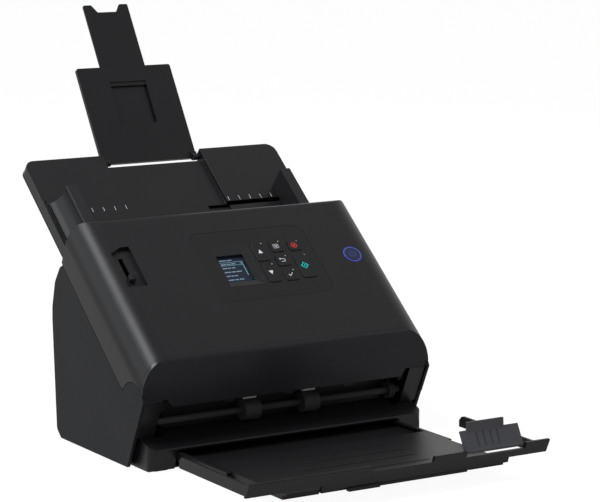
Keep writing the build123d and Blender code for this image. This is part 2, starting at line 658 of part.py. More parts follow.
def make_side_frame():
    points = [
        (-38.0, 4.1),
        slab_point(18.0, BASE_GUIDE_BACK_D + 0.6),
        slab_point(PANEL_LENGTH - 16.0, BASE_GUIDE_BACK_D + 0.6),
        (REAR_Y + 6.64, REAR_Z - 27.91),
        (REAR_Y + 8.14, REAR_Z - 54.91),
        (REAR_Y + 6.64, 4.1)]
    x0 = FRAME_INNER_X - 1
    x1 = FRAME_OUTER_X + 1
    frame = profile(FRAME_INNER_X, FRAME_OUTER_X, points)
    for y, z in ((FEED_Y, FEED_Z), (DRIVE_Y, DRIVE_Z)):
        frame = frame - disc(x0, x1, y, z, SHAFT_RADIUS + RUNNING_GAP)
    frame = frame - disc(x0, x1, MOTOR_Y, MOTOR_Z, MOTOR_SHAFT_RADIUS + 0.6)
    frame = frame - profile(x0, x1, [(35, 90), (60, 90), (60, 70), (35, 70)], [5.0, 5.0, 5.0, 5.0])
    return frame - profile(x0, x1, [(-10, 60), (5, 60), (5, 30), (-10, 30)], [5.0, 5.0, 5.0, 5.0])


def make_rear_cover():
    outer = [
        (REAR_Y + 12.84, 4.2),
        (REAR_Y + 18.64, REAR_Z - 54.21),
        (REAR_Y + 18.34, REAR_Z - 42.11),
        (REAR_Y + 12.24, REAR_Z - 18.91),
        (REAR_Y + 9.94, REAR_Z - 12.91),
        (REAR_Y + 6.64, REAR_Z - 12.91),
        (REAR_Y + 9.44, REAR_Z - 19.91),
        (REAR_Y + 15.34, REAR_Z - 42.61),
        (REAR_Y + 15.64, REAR_Z - 54.01),
        (REAR_Y + 9.84, 4.2)]
    cover = profile(-INNER_HALF_WIDTH, INNER_HALF_WIDTH, outer)
    y0 = REAR_Y + 3.6
    y1 = REAR_Y + 28.6
    gap = FIT_GAP
    cover = cover - box(USB_X0 - gap, USB_X1 + gap, y0, y1, USB_Z0 - gap, USB_Z1 + gap)
    cover = cover - disc_y(INLET_X, INLET_Z, INLET_RADIUS + gap, y0, y1)
    for i in range(8):
        x = -60 + i * 17.0
        cover = cover - box(x - 5, x + 5, y0, y1, 90.0, 92.0)
        cover = cover - box(x - 5, x + 5, y0, y1, 96.0, 98.0)
    return cover


def disc_y(x, z, radius, y0, y1):
    """Round rod along Y."""
    return Pos(x, y0, z) * extrude(Plane.XZ * Circle(radius), -(y1 - y0))


def make_dc_inlet():
    x = INLET_X
    z = INLET_Z
    y = REAR_Y
    body = box(x - 5.5, x + 5.5, y - 4.4, y + 9.6, BOARD_TOP_Z, z + 6.0)
    body = body + disc_y(x, z, INLET_RADIUS, y + 3.6, y + 13.6)
    body = body - disc_y(x, z, 2.8, y + 1.6, y + 23.6)
    return body + disc_y(x, z, 1.0, y - 0.4, y + 11.6)


def make_usb_port():
    x0 = USB_X0
    x1 = USB_X1
    y = REAR_Y
    body = box(x0, x1, y - 3.4, y + 14.6, USB_Z0, USB_Z1)
    body = body - box(x0 + 2, x1 - 2, y - 0.4, y + 23.6, USB_Z0 + 2, USB_Z1 - 2)
    return body + box(x0 + 3.7, x1 - 3.7, y - 1.4, y + 13.1, USB_Z0 + 4.4, USB_Z1 - 4.4)


def make_main_board():
    board = box(-108.0, 66.0, -32.0, REAR_Y + 7.6, BOARD_TOP_Z - 1.6, BOARD_TOP_Z)
    for x in (-100.0, 58.0):
        for y in (-26.0, 58.0):
            board = board + Pos(x, y, 19.4) * extrude(Circle(3.0), 5.0)
    board = board + box(-40.0, -14.0, -10.0, 16.0, 25.4, 27.6)
    board = board + box(0.0, 14.0, 0.0, 10.0, 25.4, 27.0)
    board = board + box(-90.0, -60.0, -28.0, -20.0, 25.4, 31.0)
    for x in (-95.0, -80.0, 50.0):
        board = board + Pos(x, 34.0, 25.4) * extrude(Circle(5.0), 14.0)
    return board


def make_drive_motor():
    half = MOTOR_SIZE / 2
    front = FRAME_INNER_X - 2.0
    body = box(front - 40.0, front, MOTOR_Y - half, MOTOR_Y + half, MOTOR_Z - half, MOTOR_Z + half)
    body = chamfer(body.edges().filter_by(Axis.X), 4.0)
    return body + disc(front - 1, FRAME_INNER_X - 0.2, MOTOR_Y, MOTOR_Z, 11.0)


def make_motor_pulley():
    shaft = disc(FRAME_INNER_X + 0.6, PULLEY_END_X - 0.1, MOTOR_Y, MOTOR_Z, MOTOR_SHAFT_RADIUS)
    return shaft + outer_pulley(MOTOR_Y, MOTOR_Z)


def belt_loop(x0, x1, centres, radius):
    """Closed belt round equal pulleys."""
    outline = None
    if len(centres) > 2:
        outline = make_face(Polyline(*centres, close=True))
    loops = []
    for grow in (radius + FIT_GAP + BELT_THICKNESS, radius + FIT_GAP):
        if outline is None:
            (ya, za), (yb, zb) = centres
            length = math.hypot(yb - ya, zb - za)
            angle = math.degrees(math.atan2(zb - za, yb - ya))
            slot = SlotOverall(length + 2 * grow, 2 * grow)
            loop = Pos((ya + yb) / 2, (za + zb) / 2) * Rot(0, 0, angle) * slot
        else:
            loop = offset(outline, grow, kind=Kind.ARC)
        loops.append(loop)
    return Pos(x0, 0, 0) * extrude(Plane.YZ * (loops[0] - loops[1]), x1 - x0)


def make_main_belt():
    centres = ((MOTOR_Y, MOTOR_Z), (FEED_Y, FEED_Z), (DRIVE_Y, DRIVE_Z))
    start = PULLEY_START_X + 1.6
    return belt_loop(start, start + 4.5, centres, OUTER_PULLEY_RADIUS)


def make_eject_belt():
    start = INNER_PULLEY_X + 0.6
    return belt_loop(start, start + 2.0, ((EJECT_Y, EJECT_Z), (DRIVE_Y, DRIVE_Z)), INNER_PULLEY_RADIUS)


def outer_pulley(y, z):
    """Pulley with flanges outside the right frame."""
    face = PULLEY_START_X + FLANGE
    return fuse(
        disc(face, face + PULLEY_FACE, y, z, OUTER_PULLEY_RADIUS),
        disc(PULLEY_START_X, face, y, z, OUTER_PULLEY_RADIUS + 2.4),
        disc(face + PULLEY_FACE, PULLEY_END_X, y, z, OUTER_PULLEY_RADIUS + 2.4))


def make_feed_roller():
    shaft = disc(-FRAME_OUTER_X - 1, PULLEY_END_X - 0.1, FEED_Y, FEED_Z, SHAFT_RADIUS)
    tyre = disc(-12.0, 12.0, FEED_Y, FEED_Z, FEED_RADIUS)
    return fuse(shaft, tyre, outer_pulley(FEED_Y, FEED_Z))


def make_drive_roller():
    roller = disc(-FRAME_OUTER_X - 1, PULLEY_END_X - 0.1, DRIVE_Y, DRIVE_Z, SHAFT_RADIUS)
    for side in (-1, 1):
        lo, hi = sorted((side * 30.0, side * 50.0))
        roller = roller + disc(lo, hi, DRIVE_Y, DRIVE_Z, DRIVE_RADIUS)
    x = INNER_PULLEY_X
    roller = roller + disc(x, x + 3.2, DRIVE_Y, DRIVE_Z, INNER_PULLEY_RADIUS)
    return roller + outer_pulley(DRIVE_Y, DRIVE_Z)


def make_eject_roller():
    end = PILLAR_INNER_X + 5.2
    roller = disc(-end, end, EJECT_Y, EJECT_Z, EJECT_SHAFT_RADIUS)
    for side in (-1, 1):
        lo, hi = sorted((side * 22.0, side * 38.0))
        roller = roller + disc(lo, hi, EJECT_Y, EJECT_Z, EJECT_RADIUS)
    x = INNER_PULLEY_X
    rim = INNER_PULLEY_RADIUS + 2.25
    roller = roller + disc(x, x + 3.2, EJECT_Y, EJECT_Z, INNER_PULLEY_RADIUS)
    roller = roller + disc(x + 3.2, x + 4.0, EJECT_Y, EJECT_Z, rim)
    return roller + disc(x - 0.8, x, EJECT_Y, EJECT_Z, rim)


def make_lower_guide():
    half = PATH_HALF_WIDTH
    wide = INNER_HALF_WIDTH
    slot = GLASS_HALF_WIDTH + 0.2
    end = TRAY_START_S - 1.5
    plate = slab_box(-half, half, -4.0, end, BASE_GUIDE_D, BASE_GUIDE_BACK_D)
    plate = plate + slab_box(-wide, wide, 80.0, end, BASE_GUIDE_D, BASE_GUIDE_BACK_D)
    reach = FEED_RADIUS + 1.0
    plate = plate - slab_box(-13.0, 13.0, FEED_S - reach, FEED_S + reach, 45, 55)
    plate = plate - slab_box(-slot, slot, LOWER_SENSOR_S - 4.5, LOWER_SENSOR_S + 4.5, 45, 55)
    for side in (-1, 1):
        lo, hi = sorted((side * (ARM_INNER_X - 1.2), side * wide))
        plate = plate + slab_box(lo, hi, 18.0, 81.0, BASE_GUIDE_D, BASE_GUIDE_BACK_D)
        lo, hi = sorted((side * 29.0, side * 51.0))
        plate = plate - slab_box(lo, hi, DRIVE_S - DRIVE_RADIUS - 1, DRIVE_S + DRIVE_RADIUS + 1, 45, 55)
    room = OUTER_PULLEY_RADIUS + 5.0
    x0 = PULLEY_START_X - 0.6
    x1 = PULLEY_END_X + 1.3
    plate = plate - slab_box(x0, x1, DRIVE_S - room, FEED_S + room, 45, 55)
    rib = profile(-half, half, [
        slab_point(-4.0, 49.5),
        slab_point(-2.0, 49.5),
        (-50.0, 33.0),
        (-50.0, 19.5),
        (-52.5, 19.5),
        (-52.5, 33.0)])
    return plate + rib


def make_lower_image_sensor():
    s = LOWER_SENSOR_S
    body = slab_box(-SENSOR_HALF_WIDTH, SENSOR_HALF_WIDTH, s - 8, s + 8, BASE_GUIDE_BACK_D, 62.0)
    slot = SENSOR_SLOT_HALF_WIDTH
    return body - slab_box(-slot, slot, s - 3.5, s + 3.5, 48, 58.0)


def make_lower_sensor_glass():
    half = GLASS_HALF_WIDTH
    s = LOWER_SENSOR_S
    return slab_box(-half, half, s - 4.3, s + 4.3, BASE_GUIDE_D + 0.2, BASE_GUIDE_BACK_D - 0.1)


# Pieces of the feed tray
def make_feed_tray():
    half = TRAY_HALF_WIDTH
    under = half - 4.0
    bay = SUPPORT_HALF_WIDTH + 1.5
    bay_start = SUPPORT_HINGE_S - SUPPORT_LENGTH - 2.0
    top = slab_round_box(-half, half, TRAY_START_S, TRAY_END_S, TRAY_FACE_D, TRAY_BACK_D, 10.0)
    top = top + slab_box(-half, half, TRAY_START_S, TRAY_START_S + 20, TRAY_FACE_D, TRAY_BACK_D)
    top = top - slab_box(-under, under, TRAY_START_S + 6.0, TRAY_END_S - 13.8, 50.0, 60.0)
    top = top + slab_box(-bay - 2.5, bay + 2.5, bay_start - 2.0, TRAY_END_S - 12.8, 49.0, 54.2)
    top = top - slab_box(-bay, bay, bay_start, TRAY_END_S + 8.2, 40, 52.0)
    top = top - slab_box(-bay, bay, SUPPORT_HINGE_S - 6.5, TRAY_END_S + 8.2, 40, 70.0)
    for side in (-1, 1):
        lo, hi = sorted((side * SUPPORT_HALF_WIDTH, side * (SUPPORT_HALF_WIDTH + 7.0)))
        top = top - slab_disc(lo, hi, SUPPORT_HINGE_S, SUPPORT_HINGE_D, 2.0 + RUNNING_GAP)
        lo, hi = sorted((side * (GUIDE_FACE_X - GUIDE_TRAVEL), side * (GUIDE_BACK_X + 4.5)))
        leg = GUIDE_LEG_S[side]
        top = top - slab_box(lo, hi, leg - 2.6, leg + 2.6, 40, 55)
        lo, hi = sorted((side * (half - 3.4), side * (half - 2.2)))
        top = top - slab_box(lo, hi, TRAY_START_S + 17, GUIDE_END_S + 5, 40, TRAY_FACE_D + 1.7)
    post = slab_cylinder(0, PINION_S, 54.0, RACK_BACK_D + 0.2, PINION_BORE)
    return top + post


def make_feed_tray_back():
    half = TRAY_HALF_WIDTH
    bay = SUPPORT_HALF_WIDTH + 1.5
    face = TRAY_BACK_D + 0.1
    back = slab_round_box(-half, half, TRAY_START_S + 1, TRAY_END_S, face, face + 2.0, 9.0)
    back = back - slab_box(-bay, bay, SUPPORT_HINGE_S - 6.5, TRAY_END_S + 8.2, 40, 70.0)
    for side in (-1, 1):
        lo, hi = sorted((side * (bay + 8.5), side * (half - 6.6)))
        back = back + slab_box(lo, hi, TRAY_START_S + 82, TRAY_START_S + 84, 50.2, 58.0)
    return back


def pinion_outline():
    """Involute outline of the pinion, tooth by tooth."""
    pitch = MODULE * PINION_TEETH / 2
    base = pitch * math.cos(math.radians(20))
    tip = pitch + 0.9 * MODULE
    root = pitch - 1.2 * MODULE
    half_tooth = math.pi / (2 * PINION_TEETH) - BACKLASH / 4 / pitch
    inv20 = math.tan(math.radians(20)) - math.radians(20)
    points = []
    for tooth in range(PINION_TEETH):
        centre = 2 * math.pi * (tooth + 0.5) / PINION_TEETH
        flank = []
        for step in range(5):
            r = base + (tip - base) * step / 4
            alpha = math.acos(base / r)
            flank.append((r, half_tooth + inv20 - (math.tan(alpha) - alpha)))
        angle = half_tooth + inv20
        side = [(root, angle)] + flank
        for r, a in side:
            points.append((r * math.cos(centre - a), r * math.sin(centre - a)))
        for r, a in reversed(side):
            points.append((r * math.cos(centre + a), r * math.sin(centre + a)))
    return points


def make_guide_pinion():
    gear = make_face(Polyline(*pinion_outline(), close=True)) - Circle(PINION_BORE + RUNNING_GAP)
    return SLAB * Pos(0, PINION_S, -RACK_BACK_D) * extrude(gear, RACK_BACK_D - RACK_D)


def rack_outline(x0, x1, toward):
    """Rack outline in (x, s) with teeth toward +s (1) or -s (-1) at the pinion."""
    pitch_s = PINION_S - toward * MODULE * PINION_TEETH / 2
    half = MODULE * math.pi / 4 - BACKLASH / 4
    lean = math.tan(math.radians(20))
    tip = 0.9 * MODULE
    root = 1.2 * MODULE
    points = [(x0, pitch_s - toward * 6.0)]
    first = math.ceil((x0 + 2) / (MODULE * math.pi))
    last = math.floor((x1 - 2) / (MODULE * math.pi))
    points.append((x0, pitch_s - toward * root))
    for tooth in range(first, last + 1):
        middle = tooth * MODULE * math.pi
        points.append((middle - half - root * lean, pitch_s - toward * root))
        points.append((middle - half + tip * lean, pitch_s + toward * tip))
        points.append((middle + half - tip * lean, pitch_s + toward * tip))
        points.append((middle + half + root * lean, pitch_s - toward * root))
    points.append((x1, pitch_s - toward * root))
    points.append((x1, pitch_s - toward * 6.0))
    return points


def make_paper_guide(side):
    """Side guide: upright wall with a scooped outer side, a leg and a rack."""
    inner = side * GUIDE_FACE_X
    outer = side * GUIDE_BACK_X
    foot = side * (GUIDE_BACK_X + 9.6)
    low = -(TRAY_FACE_D - 0.2)
    high = -(TRAY_FACE_D - GUIDE_HEIGHT)
    line = Polyline(
        (foot, low),
        (inner, low),
        (inner, high),
        (outer - side * 1.0, high),
        (outer, high - 1.0))
    scoop = ThreePointArc((outer, high - 1.0), (outer + side * 2.6, low + 6.5), (foot, low + 1.0))
    face = make_face(line + scoop + Line((foot, low + 1.0), (foot, low)))
    plane = Plane(origin=(0, CREASE_Y, CREASE_Z), x_dir=(1, 0, 0), z_dir=(0, -COS_SLOPE, -SIN_SLOPE))
    start = TRAY_START_S
    wall = plane.offset(-GUIDE_END_S) * extrude(face, GUIDE_LENGTH + 8.0)
    end_cut = profile(-HALF_WIDTH, HALF_WIDTH, [
        slab_point(start + 10.0, -10),
        slab_point(start - 2.8, TRAY_FACE_D - 3.5),
        slab_point(start - 2.8, 60),
        slab_point(start - 38, 60),
        slab_point(start - 38, -10)])
    wall = wall - end_cut
    wall = wall - slab_box(-140, 140, start - 8, start + 0.6, TRAY_FACE_D - 4.5, 60)
    leg_s = GUIDE_LEG_S[side]
    lo, hi = sorted((side * (GUIDE_FACE_X + 1.0), side * (GUIDE_BACK_X - 2.0)))
    leg = slab_box(lo, hi, leg_s - 2.0, leg_s + 2.0, 46.0, RACK_BACK_D)
    x0, x1 = sorted((side * (GUIDE_BACK_X - 2.0), -side * 12.0))
    teeth = make_face(Polyline(*rack_outline(x0, x1, -side), close=True))
    rack = SLAB * Pos(0, 0, -RACK_BACK_D) * extrude(teeth, RACK_BACK_D - RACK_D)
    return fuse(wall, leg, rack)


# Pieces of the paper support
def support_frame():
    """Plane of the raised support: local x across, y up along it, z out of its front."""
    y, z = slab_point(SUPPORT_HINGE_S, SUPPORT_HINGE_D)
    lean = math.radians(SUPPORT_SLOPE_DEG)
    return Plane(origin=(0, y, z), x_dir=(1, 0, 0), z_dir=(0, -math.sin(lean), math.cos(lean)))


def make_feed_support():
    plane = support_frame()
    half = SUPPORT_HALF_WIDTH
    slot = EXTENSION_HALF_WIDTH + FIT_GAP
    view = EXTENSION_HALF_WIDTH - 5.0
    outline = Pos(0, SUPPORT_LENGTH / 2) * RectangleRounded(2 * half, SUPPORT_LENGTH, 2.0)
    stage = Pos(0, 0, SUPPORT_BACK) * extrude(outline, SUPPORT_FRONT - SUPPORT_BACK)
    stage = stage - box(-half - 10, half + 10, -5, 1.5, SUPPORT_BACK - 1, -5.0)
    stage = stage - box(-slot, slot, 15, SUPPORT_LENGTH + 10, -4.9, -2.6)
    stage = stage - box(-view, view, 40, SUPPORT_LENGTH - 16, -3.0, 0)
    for side in (-1, 1):
        lo, hi = sorted((side * (half - 6.0), side * half))
        eye = Pos(lo, 0, 0) * extrude(Plane.YZ * Circle(3.2), 6.0)
        lug = box(lo, hi, 0, 6.0, -4.0, -0.2)
        pin = Pos(min(side * (half - 2.0), side * (half + 6.0)), 0, 0) * extrude(Plane.YZ * Circle(2.0), 8.0)
        stage = fuse(stage, eye, lug, pin)
    return plane * stage


def make_feed_support_extension():
    plane = support_frame()
    w = EXTENSION_HALF_WIDTH
    tail = SUPPORT_LENGTH - EXTENSION_OVERLAP
    tip = tail + EXTENSION_LENGTH
    corners = [
        (-w, tail),
        (w, tail),
        (w, tip),
        (w - 9, tip),
        (w - 14, tip - 8),
        (-w + 14, tip - 8),
        (-w + 9, tip),
        (-w, tip)]
    outline = make_face(FilletPolyline(*corners, radius=[0, 0, 2.0, 2.0, 1.5, 1.5, 2.0, 2.0], close=True))
    return plane * (Pos(0, 0, -4.7) * extrude(outline, 1.9))


# Pieces of the eject tray
def make_eject_tray():
    tray = box(-TRAY_CHANNEL_X, TRAY_CHANNEL_X, -165.0, -40.0, 8.0, 10.4)
    for side in (-1, 1):
        lo, hi = sorted((side * (RUNNER_HALF_WIDTH + 0.3), side * TRAY_CHANNEL_X))
        wall = box(lo, hi, -165.0, -40.0, 8.0, 16.0)
        glo, ghi = sorted((side * (RUNNER_HALF_WIDTH - 1), side * (RUNNER_HALF_WIDTH + 2.3)))
        tray = tray + (wall - box(glo, ghi, -166, -39, 11.6, 13.8))
    for x in (-60.0, 0.0, 60.0):
        tray = tray - box(x - 20, x + 20, -150.0, -60.0, 7.0, 8.8)
    return tray


def make_eject_tray_frame():
    floor = box(-RUNNER_HALF_WIDTH, RUNNER_HALF_WIDTH, -251.0, -130.0, TRAY_FLOOR_Z, TRAY_FLOOR_TOP_Z)
    for side in (-1, 1):
        lo, hi = sorted((side * 74.0, side * RUNNER_HALF_WIDTH))
        floor = floor + box(lo, hi, -246.0, -130.0, 10.9, TRAY_FLOOR_Z)
        floor = floor - box(lo + 3, hi - 3, -240.0, -136.0, 10.0, 13.4)
        lo, hi = sorted((side * 66.0, side * 74.5))
        floor = floor + box(lo, hi, -240.0, -130.0, 10.9, 11.8)
        lo, hi = sorted((side * (RUNNER_HALF_WIDTH - 1.3), side * (RUNNER_HALF_WIDTH + 1.9)))
        floor = floor + box(lo, hi, -168.0, -130.0, 12.0, 13.4)
    bar = profile(-BAR_HALF_WIDTH, BAR_HALF_WIDTH, [
        (BAR_BOTTOM_Y, 19.0),
        (BAR_TOP_Y, 30.0),
        (BAR_TOP_Y + 0.7, 31.0),
        (BAR_TOP_Y + 3.3, 31.0),
        (-251.0, 19.5),
        (-251.0, 19.0)])
    bar = bar + profile(-76.0, RUNNER_HALF_WIDTH, [
        (-252.5, TRAY_FLOOR_Z), (-254.6, 20.5), (-251.0, 20.5), (-249.0, TRAY_FLOOR_Z)])
    bar = bar - box(-30.0, 30.0, -265, -245, 26.0, 40)
    frame = floor + bar
    frame = frame - box(STOPPER_X0 - 0.6, STOPPER_X1 + 0.6, -265, -240, 25.6, 40)
    for side in (-1, 1):
        lo, hi = sorted((side * (BAR_HALF_WIDTH - 7.6), side * (BAR_HALF_WIDTH - 5.1)))
        wall = profile(lo, hi, [
            (-253.0, 19.0), (-255.5, 27.0), (-142.0, 28.0), (-138.0, 24.0), (-138.0, 18.0), (-250.0, 17.8)],
            [0, 0, 4.0, 0, 0, 0])
        frame = frame + wall
    for i in range(5):
        groove_y = -236.0 + i * 20
        frame = frame - box(-55.0, 55.0, groove_y, groove_y + 2.0, TRAY_FLOOR_TOP_Z - 0.4, 20)
    return frame


def make_eject_extension():
    plate = box(-73.6, 73.6, -249.0, -140.0, 12.0, 14.2)
    lip = box(-50.0, 67.0, -252.4, -248.0, 11.8, 14.2)
    plate = plate + lip + box(-50.0, -20.0, -253.2, -249.0, 11.0, 14.2)
    for x in (-40.0, 0.0, 40.0):
        plate = plate - box(x - 12, x + 12, -235.0, -150.0, 13.4, 15.0)
    return plate


def make_eject_stopper():
    """Plate on the bar that stands up and stops the sheets."""
    lean = math.radians(28.0)
    facing = (0, -math.cos(lean), math.sin(lean))
    plane = Plane(origin=(0, STOPPER_Y, STOPPER_Z), x_dir=(1, 0, 0), z_dir=facing)
    plate = box(STOPPER_X0, STOPPER_X1, -1.4, 18.0, -1.2, 0.8)
    barrel = Pos(STOPPER_X0, 0, -0.4) * extrude(Plane.YZ * Circle(1.8), STOPPER_X1 - STOPPER_X0)
    plate = plate + barrel
    for x in (78.0, 85.0, 92.0, 99.0):
        plate = plate - box(x - 0.8, x + 0.8, 3.0, 16.0, 0.3, 2)
    stopper = plane * plate
    top_y = STOPPER_Y + math.sin(lean) * 17.0
    top_z = STOPPER_Z + math.cos(lean) * 17.0
    lip = profile(STOPPER_X0 + 7.0, STOPPER_X1 - 15.0, [
        (top_y - 1.2, top_z - 1.0),
        (top_y - 0.6, top_z + 8.0),
        (top_y + 1.2, top_z + 8.0),
        (top_y + 1.6, top_z - 1.5)])
    return stopper + lip


def nodes():
    """Every node with its solid or list of solids."""
    parts = {
        "front_cover": make_front_cover(),
        "front_lower_cover": make_front_lower_cover(),
        "control_panel": make_control_panel(),
        "screen_module": make_screen_module(),
        "screen_window": make_screen_window(),
        "power_button": make_power_button(),
        "power_light_ring": make_power_light_ring(),
        "panel_board": make_panel_board(),
        "feed_mode_lever": make_feed_mode_lever(),
        "front_inner_guide": make_front_inner_guide(),
        "upper_image_sensor": make_upper_image_sensor(),
        "upper_sensor_glass": make_upper_sensor_glass(),
        "separation_arm": make_separation_arm(),
        "separation_roller": make_separation_roller(),
        "upper_pinch_rollers": make_upper_pinch_rollers(),
        "eject_pinch_rollers": make_eject_pinch_rollers(),
        "right_side_cover": make_side_cover(),
        "left_side_cover": mirror(make_side_cover(), about=Plane.YZ),
        "right_pillar": make_pillar(),
        "left_pillar": mirror(make_pillar(), about=Plane.YZ),
        "hinge_pins": make_hinge_pins(),
        "exit_shelf": make_exit_shelf(),
        "base_pan": make_base_pan(),
        "rubber_feet": make_rubber_feet(),
        "base_screws": make_base_screws(),
        "middle_deck": make_middle_deck(),
        "right_frame": make_side_frame(),
        "left_frame": mirror(make_side_frame(), about=Plane.YZ),
        "rear_cover": make_rear_cover(),
        "dc_inlet": make_dc_inlet(),
        "usb_port": make_usb_port(),
        "main_board": make_main_board(),
        "drive_motor": make_drive_motor(),
        "motor_pulley": make_motor_pulley(),
        "main_belt": make_main_belt(),
        "eject_belt": make_eject_belt(),
        "feed_roller": make_feed_roller(),
        "drive_roller": make_drive_roller(),
        "eject_roller": make_eject_roller(),
        "lower_guide": make_lower_guide(),
        "lower_image_sensor": make_lower_image_sensor(),
        "lower_sensor_glass": make_lower_sensor_glass(),
        "feed_tray": make_feed_tray(),
        "feed_tray_back": make_feed_tray_back(),
        "left_guide": make_paper_guide(-1),
        "right_guide": make_paper_guide(1),
        "guide_pinion": make_guide_pinion(),
        "feed_support": make_feed_support(),
        "feed_support_extension": make_feed_support_extension(),
        "eject_tray": make_eject_tray(),
        "eject_tray_frame": make_eject_tray_frame(),
        "eject_extension": make_eject_extension(),
        "eject_stopper": make_eject_stopper(),
    }
    for name, x0, x1, s0, s1 in KEYS:
        parts[name] = make_key(x0, x1, s0, s1)
    return parts


def export_all():
    """Write one STEP file per node."""
    os.makedirs("parts", exist_ok=True)
    for name, shape in nodes().items():
        solids = []
        for item in shape if isinstance(shape, list) else [shape]:
            solids.extend(item.solids())
        node = solids[0] if len(solids) == 1 else Compound(children=solids)
        node.label = name
        export_step(node, os.path.join("parts", name + ".step"))


export_all()
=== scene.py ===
"""Looks of the document scanner: finishes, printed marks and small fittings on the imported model."""

import json
import logging
import math
from dataclasses import dataclass, field
from enum import Enum

import bmesh
import bpy
from mathutils import Matrix, Vector


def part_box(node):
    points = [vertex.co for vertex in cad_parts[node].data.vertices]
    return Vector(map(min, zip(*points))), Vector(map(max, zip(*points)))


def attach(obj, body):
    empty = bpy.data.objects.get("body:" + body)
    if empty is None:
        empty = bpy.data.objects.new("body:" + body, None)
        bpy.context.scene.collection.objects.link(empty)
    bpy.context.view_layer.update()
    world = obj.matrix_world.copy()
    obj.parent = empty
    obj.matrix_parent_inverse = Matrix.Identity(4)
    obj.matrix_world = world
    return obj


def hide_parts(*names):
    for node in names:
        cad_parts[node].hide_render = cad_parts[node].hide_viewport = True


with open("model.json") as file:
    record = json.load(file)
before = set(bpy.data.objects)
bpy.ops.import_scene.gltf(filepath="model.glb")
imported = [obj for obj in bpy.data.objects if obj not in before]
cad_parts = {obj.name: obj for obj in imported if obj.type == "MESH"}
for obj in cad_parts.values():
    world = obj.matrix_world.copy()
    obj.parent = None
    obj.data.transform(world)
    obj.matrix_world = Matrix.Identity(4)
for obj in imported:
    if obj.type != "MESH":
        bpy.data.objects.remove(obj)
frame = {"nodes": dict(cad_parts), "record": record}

Colour = tuple[float, float, float]
Place = tuple[float, float, float]
Outline = list[tuple[float, float]]
Tree = bpy.types.NodeTree
Node = bpy.types.Node

LOG = logging.getLogger("document_scanner")
MM = 0.001
WELD = 2e-6
WHITE = (1.0, 1.0, 1.0)
DARK = (0.03, 0.03, 0.03)
LESS_DARK = (0.04, 0.04, 0.04)

COLOUR_SOCKET = "NodeSocketColor"
FLOAT_SOCKET = "NodeSocketFloat"

GRAIN_SCALE = 2600.0
BRUSH_SCALE = 60.0
DRIFT_SCALE = 14.0
DRIFT_GAIN = 1.18
DRIFT_LIFT = 0.001
GLOW_SCALE = 160.0
GLOW_DROP = 0.82
ROUGHNESS_SPREAD = 0.06
LEAST_ROUGHNESS = 0.03
BUMP_STRENGTH = 0.35
COAT_ROUGHNESS = 0.08
METAL_SPECULAR = 0.5
GLASS_IOR = 1.46

ARC_STEP = 15
LEAST_ARC_STEPS = 4


class Kind(Enum):
    """How a finish catches the light."""

    MOULDED = "moulded"
    METAL = "metal"
    RUBBER = "rubber"
    GLASS = "glass"
    LIT = "lit"


@dataclass(frozen=True)
class Slope:
    """The sloping face: millimetres across, up the slope from the crease, and below the face."""

    crease_y: float = -81.6
    crease_z: float = 97.0
    angle: float = math.radians(39.1)

    def point(self, across: float, up: float, depth: float) -> Vector:
        """Return the place in metres of a point on or under the slope.

        Args:
            across: distance to the right of the middle.
            up: distance up the slope from the crease.
            depth: distance below the face.

        Returns:
            The point in the shared frame.
        """
        c, s = math.cos(self.angle), math.sin(self.angle)
        y = self.crease_y + c * up + s * depth
        z = self.crease_z + s * up - c * depth
        return Vector((across, y, z)) * MM

    def turn(self, lean: float = 0.0) -> Place:
        """Return the turn about x, y and z that lays a flat thing on the slope, or leans it."""
        return (self.angle + lean, 0.0, 0.0)


SLOPE = Slope()


def metres(*sizes: float) -> tuple[float, ...]:
    """Return sizes given in millimetres as metres."""
    return tuple(size * MM for size in sizes)


def fill(node: Node, values: dict[str | int, object]) -> None:
    """Set the plain values of a node's inputs, by name or number."""
    for socket, value in values.items():
        node.inputs[socket].default_value = value


def add_node(tree: Tree, kind: str, values: dict[str | int, object] | None = None,
             **settings: object) -> Node:
    """Add a node with its settings and the plain values of its inputs.

    Args:
        tree: the tree that gets the node.
        kind: the node's type.
        values: the inputs' values, by name or number.
        settings: the node's own options, set first because they decide which inputs it shows.

    Returns:
        The node.
    """
    node = tree.nodes.new(kind)
    for option, choice in settings.items():
        setattr(node, option, choice)
    fill(node, values or {})
    return node


def wire(*links: tuple[Node, str | int, Node, str | int]) -> None:
    """Link nodes of one tree.

    Args:
        links: each link as a node, its output, the next node and its input.
    """
    for giver, output, taker, entry in links:
        giver.id_data.links.new(giver.outputs[output], taker.inputs[entry])


